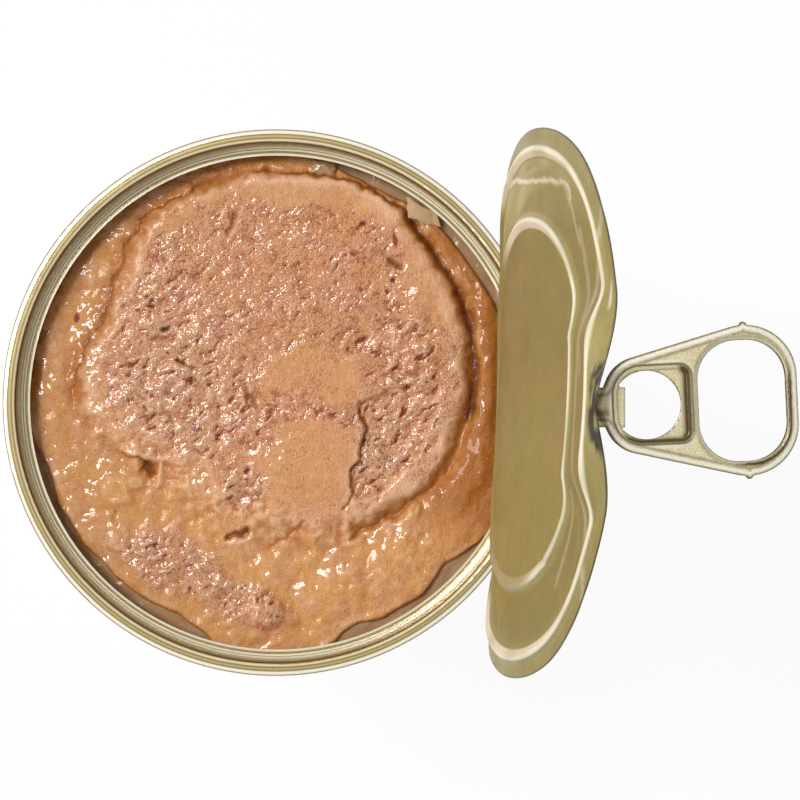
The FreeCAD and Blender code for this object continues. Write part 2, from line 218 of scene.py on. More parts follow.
def line_distance(x: Array, y: Array, points: Sequence[Pair]) -> tuple[Array, Array]:
    """Distance from a line of points, and the share along it.

    Args:
        x: Places in plan, mm.
        y: Places in plan, mm.
        points: Corners of the line, mm.

    Returns:
        Distance in mm, and 0 to 1 from the line's start to its end.
    """
    best, share = np.full(x.shape, 1e9), np.zeros(x.shape)
    runs = [math.dist(a, b) for a, b in zip(points, points[1:])]
    gone, total = 0.0, sum(runs)
    for (ax, ay), (bx, by), run in zip(points, points[1:], runs):
        t = np.clip(((x - ax) * (bx - ax) + (y - ay) * (by - ay)) / run ** 2, 0.0, 1.0)
        away = np.hypot(x - ax - t * (bx - ax), y - ay - t * (by - ay))
        nearer = away < best
        best = np.where(nearer, away, best)
        share = np.where(nearer, (gone + t * run) / total, share)
        gone += run
    return best, share


@dataclass(frozen=True)
class Region:
    """An area of the loaf's top with a drawn outline, seen from its middle."""

    middle: Pair
    points: tuple[Pair, ...]

    def inward(self, x: Array, y: Array) -> Array:
        """Distance inside the outline in mm, negative outside.

        Args:
            x: Places in plan, mm.
            y: Places in plan, mm.

        Returns:
            The distance at each place.
        """
        mx, my = self.middle
        corners = sorted((math.atan2(py - my, px - mx), math.hypot(px - mx, py - my))
                         for px, py in self.points)
        angles = np.array([a for a, _ in corners])
        reach = np.array([r for _, r in corners])
        bearing = np.arctan2(y - my, x - mx)
        edge = np.interp(bearing, angles, reach, period=2 * math.pi)
        return edge - np.hypot(x - mx, y - my)


@dataclass(frozen=True)
class Patch:
    """A ragged oval area of the loaf's top: centre, half sizes, turn, rise."""

    at: Pair
    half: Pair
    turn: float = 0.0
    rise: float = 0.0
    soft: float = 0.4

    def cover(self, x: Array, y: Array, ragged: float = 0.22) -> Array:
        """How far each place lies in the patch, 0 to 1.

        Args:
            x: Places in plan, mm.
            y: Places in plan, mm.
            ragged: How far the edge wanders, as a share of the patch.

        Returns:
            Share of cover at each place.
        """
        c, s = math.cos(math.radians(self.turn)), math.sin(math.radians(self.turn))
        dx, dy = x - self.at[0], y - self.at[1]
        far = np.hypot((dx * c + dy * s) / self.half[0], (dy * c - dx * s) / self.half[1])
        seed = int(abs(self.at[0] * 17 + self.at[1] * 5)) + 3
        return smooth((1.0 - far - ragged * fractal(x, y, 3.0, 3, seed)) / self.soft + 0.5)


@dataclass(frozen=True)
class Crease:
    """A furrow or a fold along a line: half width, depth, browning by fat, which past 0.9 turns to
    painted shade in the slit.
    """

    points: tuple[Pair, ...]
    half: float
    deep: float
    stain: float
    wander: float = 0.5

    def press(self, x: Array, y: Array) -> Array:
        """Strength of the crease at each place, 0 to 1, thin at both ends.

        Args:
            x: Places in plan, mm.
            y: Places in plan, mm.

        Returns:
            Strength at each place.
        """
        dx = self.wander * fractal(x, y, 3.5, 3, 71)
        dy = self.wander * fractal(x, y, 3.5, 3, 72)
        away, share = line_distance(x + dx, y + dy, self.points)
        ends = smooth(share / 0.08 + 0.3) * smooth((1.0 - share) / 0.08 + 0.3)
        return np.exp(-(away / self.half) ** 2) * ends


# ---- Meshes ------------------------------------------------------------------
def mesh_object(name: str, bm: bmesh.types.BMesh, move: Callable[[Array], Array] | None,
                material: bpy.types.Material) -> bpy.types.Object:
    """Finish a bmesh as a smooth-shaded piece that rides on the can.

    Args:
        name: Name of the piece.
        bm: The mesh in mm; it is freed here.
        move: Takes all corners (n, 3) in mm to their place in mm, or None.
        material: Finish of the whole piece.

    Returns:
        The new object.
    """
    mesh = bpy.data.meshes.new(name)
    bm.to_mesh(mesh)
    bm.free()
    corners = np.empty(len(mesh.vertices) * 3, dtype=np.float32)
    mesh.vertices.foreach_get("co", corners)
    places = corners.reshape(-1, 3).astype(np.float64)
    if move is not None:
        places = move(places)
    mesh.vertices.foreach_set("co", (places * MM).astype(np.float32).ravel())
    mesh.polygons.foreach_set("use_smooth", [True] * len(mesh.polygons))
    mesh.update()
    mesh.materials.append(material)
    piece = bpy.data.objects.new(name, mesh)
    bpy.context.scene.collection.objects.link(piece)
    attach(piece, ROOT)
    return piece


def paint(mesh: bpy.types.Mesh, name: str, channels: Sequence[Array]) -> None:
    """Keep up to three masks of a mesh's corners as one colour attribute.

    Args:
        mesh: Mesh that takes the attribute.
        name: Name of the attribute.
        channels: One mask for each colour channel.
    """
    colours = np.ones((len(mesh.vertices), 4), dtype=np.float32)
    for i, channel in enumerate(channels):
        colours[:, i] = np.clip(channel, 0.0, 1.0)
    layer = mesh.color_attributes.new(name, "FLOAT_COLOR", "POINT")
    layer.data.foreach_set("color", colours.ravel())


def blurred(grid: Array, reach: int) -> Array:
    """Square grid averaged over its neighbours, reach cells each way.

    Args:
        grid: Values on a grid.
        reach: Cells averaged each way.

    Returns:
        A smoothed grid of the same size.
    """
    out = grid
    for axis in (0, 1):
        padded = np.pad(out, [(reach, reach) if a == axis else (0, 0) for a in (0, 1)], "edge")
        sums = np.cumsum(padded, axis=axis)
        wide = 2 * reach + 1
        first = np.take(sums, range(wide - 1, sums.shape[axis]), axis=axis)
        lead = np.take(sums, range(0, sums.shape[axis] - wide), axis=axis)
        first = first - np.concatenate([np.zeros_like(np.take(sums, [0], axis=axis)), lead],
                                       axis=axis)
        out = first / wide
    return out


# ---- Finishes ----------------------------------------------------------------
class GrainRun(Enum):
    """Where a sheet's rolling grain takes its direction from."""

    SHEET = "uv"          # the piece's own UV map, across the flat sheet
    ROUND = "round"       # the can's Y axis, before the end was drawn


@dataclass(frozen=True)
class LacqueredTinplate:
    """Cold-rolled tinplate under clear gold epoxy lacquer.

    The tin's rolling grain stays visible as fine parallel lines, and the
    baked lacquer gives a pale gold, slightly orange-peeled satin gloss.
    """

    name: str
    colour: str
    wear_and_light: str                     # tint where the lacquer is thin
    roughness: float
    metallic: float = 0.9
    grain: GrainRun = GrainRun.ROUND
    grain_depth: float = 0.25
    specks: float = 0.0           # share of small knocks that show dark
    coat: float = 0.25
    painted_light_layer: str = ""             # attribute of painted highlight (red) and painted shade (green)
    bright: str = "#F1ECDD"       # painted highlight colour
    fold: str = "#5B4A2A"         # painted shade colour, for folds, edges and dark bands
    knock: str = "#3A2C1C"        # dark bottom of a small knock
    rings: tuple[Pair, ...] = ()  # radius in mm against 0 painted shade, 0.5 plain, 1 painted highlight
    sand: float = 0.0             # contrast of the drawn metal's fine speckle

    def build(self) -> bpy.types.Material:
        """Make the material.

        Returns:
            The finished material.
        """
        material, tree = start_material(self.name)
        place = add_node(tree, "ShaderNodeTexCoord")
        if self.grain is GrainRun.SHEET:
            # Rolling grain of the flat sheet: lines 0.9 mm apart, some 4 mm long.
            source, scale = place.outputs["UV"], (24.0, 110.0, 1.0)
        else:
            # The same grain on the drawn ends: 0.3 mm apart, some 17 mm long.
            source, scale = place.outputs["Object"], (3000.0, 60.0, 3000.0)
        stretched = add_node(tree, "ShaderNodeMapping", {"Vector": source, "Scale": scale})
        lines = add_node(tree, "ShaderNodeTexNoise",
                         {"Vector": stretched.outputs[0], "Scale": 1.0, "Detail": 3.0,
                          "Roughness": 0.6})
        # Uneven lacquer, in clouds of about 8 mm.
        clouds = add_node(tree, "ShaderNodeTexNoise",
                          {"Vector": place.outputs["Object"], "Scale": 120.0, "Detail": 3.0})
        # Orange peel of the baked lacquer, about 0.7 mm.
        peel = add_node(tree, "ShaderNodeTexNoise",
                        {"Vector": place.outputs["Object"], "Scale": 1400.0, "Detail": 2.0})
        tint = add_node(tree, "ShaderNodeMix",
                        {0: clouds.outputs[0], 6: srgb(self.colour), 7: srgb(self.wear_and_light)},
                        data_type="RGBA")
        shade = add_node(tree, "ShaderNodeMapRange",
                         {0: lines.outputs[0], 1: 0.3, 2: 0.7, 3: 0.91, 4: 1.07})
        toned = add_node(tree, "ShaderNodeMix",
                         {0: 1.0, 6: tint.outputs[2], 7: shade.outputs[0]},
                         data_type="RGBA", blend_type="MULTIPLY")
        colour = self.speckled(tree, place.outputs["Object"], toned.outputs[2])
        # Painted highlights and painted shade from the piece's own attribute.
        if self.painted_light_layer:
            colour = self.lay_painted_light(tree, colour)
        if self.rings:
            colour = self.ringed(tree, place.outputs["Object"], colour)
        rough = add_node(tree, "ShaderNodeMapRange",
                         {0: clouds.outputs[0], 1: 0.3, 2: 0.7,
                          3: self.roughness * 0.85, 4: self.roughness * 1.15})
        height = add_node(tree, "ShaderNodeMath", {0: lines.outputs[0], 1: peel.outputs[0]},
                          operation="ADD")
        bump = add_node(tree, "ShaderNodeBump",
                        {"Height": height.outputs[0], "Strength": self.grain_depth,
                         "Distance": 0.00005})
        shader = add_node(tree, "ShaderNodeBsdfPrincipled",
                          {"Base Color": colour, "Metallic": self.metallic,
                           "Roughness": rough.outputs[0], "Normal": bump.outputs[0],
                           "Coat Weight": self.coat, "Coat Roughness": 0.12})
        finish_material(tree, shader.outputs[0])
        return material

    def speckled(self, tree: bpy.types.NodeTree, place: bpy.types.NodeSocket,
                 colour: bpy.types.NodeSocket) -> bpy.types.NodeSocket:
        """Add the fine speckle of drawn metal and the small dark knocks.

        Args:
            tree: Node tree of the finish.
            place: Object coordinates.
            colour: Colour so far.

        Returns:
            The speckled colour.
        """
        if self.sand > 0.0:
            # Drawn metal roughened into grains of about 0.25 mm.
            grit = add_node(tree, "ShaderNodeTexNoise",
                            {"Vector": place, "Scale": 4200.0, "Detail": 1.0})
            speckle = add_node(tree, "ShaderNodeMapRange",
                               {0: grit.outputs[0], 1: 0.3, 2: 0.7, 3: 1.0 - self.sand,
                                4: 1.0 + self.sand})
            colour = add_node(tree, "ShaderNodeMix",
                              {0: 1.0, 6: colour, 7: speckle.outputs[0]},
                              data_type="RGBA", blend_type="MULTIPLY").outputs[2]
        if self.specks > 0.0:
            # Knocks and food specks, 0.3 to 0.8 mm.
            dots = add_node(tree, "ShaderNodeTexNoise",
                            {"Vector": place, "Scale": 900.0, "Detail": 4.0})
            few = add_node(tree, "ShaderNodeMapRange",
                           {0: dots.outputs[0], 1: 0.76 - self.specks, 2: 0.79 - self.specks,
                            3: 0.0, 4: 0.75})
            colour = add_node(tree, "ShaderNodeMix",
                              {0: few.outputs[0], 6: colour, 7: srgb(self.knock)},
                              data_type="RGBA").outputs[2]
        return colour

    def lay_painted_light(self, tree: bpy.types.NodeTree,
                colour: bpy.types.NodeSocket) -> bpy.types.NodeSocket:
        """Lay painted highlights and painted shade on the lacquer, as the piece's attribute gives
        them.

        Args:
            tree: Node tree of the finish.
            colour: Colour so far.

        Returns:
            The colour with its painted highlights and shade.
        """
        # Red is painted highlight, green is painted shade.
        wear_and_light = add_node(tree, "ShaderNodeSeparateColor", {
            0: add_node(tree, "ShaderNodeAttribute", attribute_name=self.painted_light_layer).outputs[0]})
        for share, tint in zip(wear_and_light.outputs, (self.bright, self.fold)):
            colour = add_node(tree, "ShaderNodeMix", {0: share, 6: colour, 7: srgb(tint)},
                              data_type="RGBA").outputs[2]
        return colour

    def ringed(self, tree: bpy.types.NodeTree, place: bpy.types.NodeSocket,
               colour: bpy.types.NodeSocket) -> bpy.types.NodeSocket:
        """Lay painted highlights and painted shade on the lacquer in rings round the can's axis.

        Args:
            tree: Node tree of the finish.
            place: Object coordinates.
            colour: Colour so far.

        Returns:
            The ringed colour.
        """
        flat = add_node(tree, "ShaderNodeVectorMath", {0: place, 1: (1.0, 1.0, 0.0)},
                        operation="MULTIPLY")
        radius = add_node(tree, "ShaderNodeVectorMath", {0: flat.outputs[0]},
                          operation="LENGTH")
        low, high = self.rings[0][0], self.rings[-1][0]
        share = add_node(tree, "ShaderNodeMapRange",
                         {0: radius.outputs["Value"], 1: low * MM, 2: high * MM})
        stops = [((r - low) / (high - low), (v, v, v, 1.0)) for r, v in self.rings]
        ramp = add_node(tree, "ShaderNodeValToRGB", {0: share.outputs[0]}, stops=stops)
        # Above 0.5 a painted highlight, below it painted shade.
        bright = add_node(tree, "ShaderNodeMapRange", {0: ramp.outputs[0], 1: 0.5, 2: 1.0})
        folded = add_node(tree, "ShaderNodeMapRange", {0: ramp.outputs[0], 1: 0.5, 2: 0.0})
        lit = add_node(tree, "ShaderNodeMix",
                       {0: bright.outputs[0], 6: colour, 7: srgb(self.bright)},
                       data_type="RGBA")
        return add_node(tree, "ShaderNodeMix",
                        {0: folded.outputs[0], 6: lit.outputs[2], 7: srgb(self.fold)},
                        data_type="RGBA").outputs[2]


class Meat(Enum):
    """Colours of the steamed loaf, as sRGB hex codes."""

    PINK = "#E9A67C"
    PINK_WARM = "#E5A36C"
    PINK_PALE = "#ECBE9C"
    PINK_DEEP = "#AC542C"
    TAN = "#CF955F"
    TAN_DEEP = "#C88E56"
    ORANGE = "#AE681E"
    STAIN = "#5E2806"
    FAT = "#CE9245"
    ROSE = "#CC6A4E"
    BLOOD = "#842408"
    # Painted shade in the deepest slits.
    SLIT_SHADE = "#3A1208"


@dataclass(frozen=True)
class CookedLoaf:
    """Steam-cooked minced meat loaf, torn open and wet with its own fat.

    Torn faces are pink, shredded and glinting; smeared ones are tan and
    close-grained; fat gathers orange-brown in the furrows.  Painted shade
    browns the meat beside the wall and the lid and fills the deepest slits,
    and painted highlight and shade follow the relief's crests and hollows.
    The tables name each mask once, and later rows build on the masks of
    earlier ones.
    """

    name: str = "steamed_meat_loaf_torn"
    # Attribute of the mesh against its three masks.
    painted: tuple[tuple[str, tuple[str, str, str]], ...] = (
        ("Flesh", ("pink", "stain", "crest")), ("Spots", ("fat", "raw", "wet")))
    # Name, size of the lumps in mm, detail, roughness: 1 mm shreds, ground
    # gristle and spice of about 0.5 mm, and fat that pools in 6 mm patches.
    noises: tuple[tuple[str, float, float, float], ...] = (
        ("shreds", 1.1, 4.0, 0.6), ("grains", 0.4, 3.0, 0.6), ("lumps", 8.0, 3.0, 0.5),
        ("rosy", 3.2, 4.0, 0.65), ("specks", 0.55, 2.0, 0.5), ("grit", 0.33, 2.0, 0.5),
        ("film_drops", 2.0, 2.0, 0.5), ("torn_drops", 0.75, 1.0, 0.5),
        ("film_patches", 6.0, 2.0, 0.5))
    # Name, source, its low and high end, and the values given at those ends.
    ranges: tuple[tuple[str, str, float, float, float, float], ...] = (
        ("warm", "lumps", 0.35, 0.65, 0.0, 1.0), ("rosy_spots", "rosy", 0.56, 0.7, 0.0, 0.6),
        ("shred_pits", "shreds", 0.32, 0.46, 0.6, 0.0),
        ("shred_tips", "shreds", 0.54, 0.7, 0.0, 0.65),
        ("smear_tips", "shreds", 0.5, 0.75, 0.0, 0.3),
        ("furrow_line", "mince", 0.0, 0.12, 1.0, 0.0),
        ("furrow_share", "rosy", 0.5, 0.66, 0.0, 0.5),
        ("gristle_grains", "grains", 0.37, 0.28, 0.0, 0.65),
        ("spice", "specks", 0.32, 0.27, 0.0, 0.75),
        # Painted shade in the relief's hollows and painted highlight on its crests.
        ("hollows", "crest", 0.1, 0.46, 0.5, 0.0), ("crests", "crest", 0.54, 0.9, 0.0, 0.6),
        # stain holds fat browning together with painted shadow of the wall and painted shade by the
        # lid and in slits.
        ("stain_rim", "stain", 0.05, 0.5, 0.0, 1.0),
        ("stain_core", "stain", 0.45, 0.9, 0.0, 1.0), ("bloody", "raw", 0.05, 0.75, 0.0, 1.0),
        # Painted shade in the deepest slits.
        ("slit_shade", "stain", 0.9, 1.0, 0.0, 1.0),
        ("grit_depth", "pink", 0.0, 1.0, 0.3, 0.62),
        ("grit_low", "grit", 0.52, 0.3, 0.0, 1.0), ("grit_high", "grit", 0.54, 0.76, 0.0, 1.0),
        ("torn_bump", "pink", 0.0, 1.0, 0.35, 1.0),
        ("torn_film", "torn_drops", 0.0, 1.0, 0.0, 0.4),
        ("film_bump", "wet", 0.0, 0.35, 0.09, 0.45), ("gloss", "wet", 0.0, 1.0, 0.5, 0.3),
        ("film", "film_patches", 0.42, 0.56, 0.22, 0.95),
        ("undrained", "raw", 0.1, 0.7, 0.95, 0.12),
        ("unstained", "stain", 0.7, 1.0, 1.0, 0.1))
    # Name, two masks, and how they are joined.
    joined: tuple[tuple[str, str, str, str], ...] = (
        ("furrow_torn", "furrow_line", "furrow_share", "MULTIPLY"),
        ("furrow", "furrow_torn", "pink", "MULTIPLY"),
        ("coarse_relief", "shreds", "grains", "ADD"),
        ("furrowed_relief", "coarse_relief", "furrow", "SUBTRACT"),
        ("relief", "furrowed_relief", "grit", "ADD"),
        ("grit_dark", "grit_low", "grit_depth", "MULTIPLY"),
        ("grit_light", "grit_high", "grit_depth", "MULTIPLY"),
        ("film_wet", "film", "wet", "MAXIMUM"),
        ("film_drained", "film_wet", "undrained", "MULTIPLY"),
        ("film_pools", "film_drained", "unstained", "MULTIPLY"))
    # Name, mask, the colour under it and the colour over it.
    layers: tuple[tuple[str, str, str | Meat, str | Meat], ...] = (
        ("torn", "warm", Meat.PINK, Meat.PINK_WARM), ("torn", "rosy_spots", "torn", Meat.ROSE),
        ("torn", "shred_pits", "torn", Meat.PINK_DEEP),
        ("torn", "shred_tips", "torn", Meat.PINK_PALE),
        ("smeared", "warm", Meat.TAN, Meat.TAN_DEEP),
        ("smeared", "smear_tips", "smeared", Meat.PINK_PALE),
        ("flesh", "pink", "smeared", "torn"), ("flesh", "furrow", "flesh", Meat.PINK_DEEP),
        ("flesh", "gristle_grains", "flesh", Meat.BLOOD), ("flesh", "spice", "flesh", Meat.STAIN),
        # Painted shade in hollows and painted highlight on crests.
        ("flesh", "hollows", "flesh", Meat.PINK_DEEP), ("flesh", "crests", "flesh", Meat.PINK_PALE),
        ("flesh", "fat", "flesh", Meat.FAT), ("flesh", "stain_rim", "flesh", Meat.ORANGE),
        ("flesh", "stain_core", "flesh", Meat.STAIN), ("flesh", "bloody", "flesh", Meat.BLOOD),
        # Painted shade in the deepest slits.
        ("flesh", "slit_shade", "flesh", Meat.SLIT_SHADE),
        ("dark_grit", "stain", Meat.PINK_DEEP, Meat.STAIN),
        ("flesh", "grit_dark", "flesh", "dark_grit"),
        ("light_grit", "stain", Meat.PINK_PALE, Meat.FAT),
        ("flesh", "grit_light", "flesh", "light_grit"))

    def build(self) -> bpy.types.Material:
        """Make the material.

        Returns:
            The finished material.
        """
        material, tree = start_material(self.name)
        made = self.masks(tree)
        for name, share, under, over in self.layers:
            low, high = (srgb(c.value) if isinstance(c, Meat) else made[c] for c in (under, over))
            made[name] = add_node(tree, "ShaderNodeMix", {0: made[share], 6: low, 7: high},
                                  data_type="RGBA").outputs[2]
        bump = add_node(tree, "ShaderNodeBump",
                        {"Height": made["relief"], "Strength": made["torn_bump"],
                         "Distance": 0.0005})
        # Film of warm fat and stock, drawn into beads of 0.8 to 2 mm that each
        # catch one glint; on smeared faces it lies nearly flat.
        drops = add_node(tree, "ShaderNodeMix",
                         {0: made["pink"], 2: made["film_drops"], 3: made["torn_film"]})
        film = add_node(tree, "ShaderNodeBump",
                        {"Height": drops.outputs[0], "Strength": made["film_bump"],
                         "Distance": 0.0011})
        shader = add_node(tree, "ShaderNodeBsdfPrincipled",
                          {"Base Color": made["flesh"], "Roughness": made["gloss"], "IOR": 1.37,
                           "Normal": bump.outputs[0], "Coat Weight": made["film_pools"],
                           "Coat Roughness": 0.06, "Coat IOR": 1.48,
                           "Coat Normal": film.outputs[0],
                           "Subsurface Weight": 0.12, "Subsurface Scale": 0.001,
                           "Subsurface Radius": (1.0, 0.5, 0.25)})
        finish_material(tree, shader.outputs[0])
        return material

    def masks(self, tree: bpy.types.NodeTree) -> dict[str, bpy.types.NodeSocket]:
        """Make the painted masks, the noises and what is worked out from them.

        Args:
            tree: Node tree of the finish.

        Returns:
            Every mask by its name.
        """
        place = add_node(tree, "ShaderNodeTexCoord").outputs["Object"]
        made = {"mince": self.mince(tree, place)}
        for attribute, names in self.painted:
            source = add_node(tree, "ShaderNodeAttribute", attribute_name=attribute)
            parts = add_node(tree, "ShaderNodeSeparateColor", {0: source.outputs[0]})
            made.update(zip(names, parts.outputs))
        for name, size, detail, rough in self.noises:
            made[name] = add_node(tree, "ShaderNodeTexNoise",
                                  {"Vector": place, "Scale": 1.0 / (size * MM),
                                   "Detail": detail, "Roughness": rough}).outputs[0]
        for name, source, low, high, start, end in self.ranges:
            made[name] = add_node(tree, "ShaderNodeMapRange",
                                  {0: made[source], 1: low, 2: high, 3: start,
                                   4: end}).outputs[0]
        for name, first, second, how in self.joined:
            made[name] = add_node(tree, "ShaderNodeMath", {0: made[first], 1: made[second]},
                                  operation=how).outputs[0]
        return made

    def mince(self, tree: bpy.types.NodeTree,
              place: bpy.types.NodeSocket) -> bpy.types.NodeSocket:
        """Distance from the furrows between minced lumps, 1.5 mm apart, where juice stands.

        Args:
            tree: Node tree of the finish.
            place: Object coordinates.

        Returns:
            The distance, 0 in the furrow.
        """
        warp = add_node(tree, "ShaderNodeTexNoise",
                        {"Vector": place, "Scale": 900.0, "Detail": 2.0})
        bent = add_node(tree, "ShaderNodeVectorMath",
                        {0: warp.outputs["Color"], 1: (0.004, 0.003, 0.003), 2: place},
                        operation="MULTIPLY_ADD")
        return add_node(tree, "ShaderNodeTexVoronoi",
                        {"Vector": bent.outputs[0], "Scale": 650.0},
                        feature="DISTANCE_TO_EDGE").outputs["Distance"]


@dataclass(frozen=True)
class MeatJelly:
    """Set meat stock: cloudy, greyish, wet and half see-through."""

    name: str = "set_stock_jelly"
    colour: str = "#C29B70"
    cloudy: str = "#A67E54"

    def build(self) -> bpy.types.Material:
        """Make the material.

        Returns:
            The finished material.
        """
        material, tree = start_material(self.name)
        place = add_node(tree, "ShaderNodeTexCoord").outputs["Object"]
        # Clouds of stock, about 3 mm; dimples of the set surface, about 1.5 mm.
        clouds = add_node(tree, "ShaderNodeTexNoise",
                          {"Vector": place, "Scale": 330.0, "Detail": 4.0})
        dimples = add_node(tree, "ShaderNodeTexNoise",
                           {"Vector": place, "Scale": 650.0, "Detail": 2.0})
        tint = add_node(tree, "ShaderNodeMix",
                        {0: clouds.outputs[0], 6: srgb(self.colour), 7: srgb(self.cloudy)},
                        data_type="RGBA")
        bump = add_node(tree, "ShaderNodeBump",
                        {"Height": dimples.outputs[0], "Strength": 0.5, "Distance": 0.0004})
        shader = add_node(tree, "ShaderNodeBsdfPrincipled",
                          {"Base Color": tint.outputs[2], "Roughness": 0.12, "IOR": 1.36,
                           "Transmission Weight": 0.2, "Normal": bump.outputs[0],
                           "Coat Weight": 0.5, "Coat Roughness": 0.05})
        finish_material(tree, shader.outputs[0])
        return material


# ---- Can ---------------------------------------------------------------------
@dataclass(frozen=True)
class CanShell:
    """Side wall, bottom and rim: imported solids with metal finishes."""

    wall: LacqueredTinplate = LacqueredTinplate(
        "tinplate_body_gold_lacquer", "#D6CBA6", "#CBBD92", 0.3, grain_depth=0.2)
    bottom: LacqueredTinplate = LacqueredTinplate(
        "tinplate_end_gold_lacquer", "#DDD2B0", "#D2C49C", 0.26, grain_depth=0.2)
    rim: LacqueredTinplate = LacqueredTinplate(
        "tinplate_seam_gold_lacquer", "#C3AA66", "#B0964C", 0.2, metallic=0.6,
        grain_depth=0.25, specks=0.02, bright="#F4EFE0", fold="#4A3612",
        # Painted bands of highlight and shade across the seam and countersink, standing in for
        # their reflections.
        rings=((46.0, 0.5), (46.3, 0.1), (46.5, 0.2), (46.65, 1.0), (47.25, 0.95),
               (47.38, 0.3), (47.6, 0.5), (47.74, 0.2), (47.8, 0.95), (48.12, 1.0),
               (48.2, 0.3), (48.3, 0.95), (48.68, 0.9), (48.82, 0.05), (49.06, 0.0),
               (49.2, 0.6), (49.5, 0.85), (49.75, 0.3), (50.1, 0.7), (50.5, 0.3),
               (50.62, 1.0), (51.1, 1.0), (51.3, 0.25), (52.0, 0.15)))
    rivet: LacqueredTinplate = LacqueredTinplate(
        "tinplate_rivet_gold_lacquer", "#D6CBAA", "#C9BB92", 0.28)

    def dress(self, nodes: Mapping[str, bpy.types.Object]) -> list[str]:
        """Give each metal node its finish.

        Args:
            nodes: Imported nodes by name.

        Returns:
            Names of the nodes dressed.
        """
        finishes = {"can_body": self.wall, "bottom_end": self.bottom,
                    "end_ring": self.rim, "rivet": self.rivet}
        for name, finish in finishes.items():
            slots = nodes[name].material_slots
            slots[0].material = finish.build()
        return list(finishes)


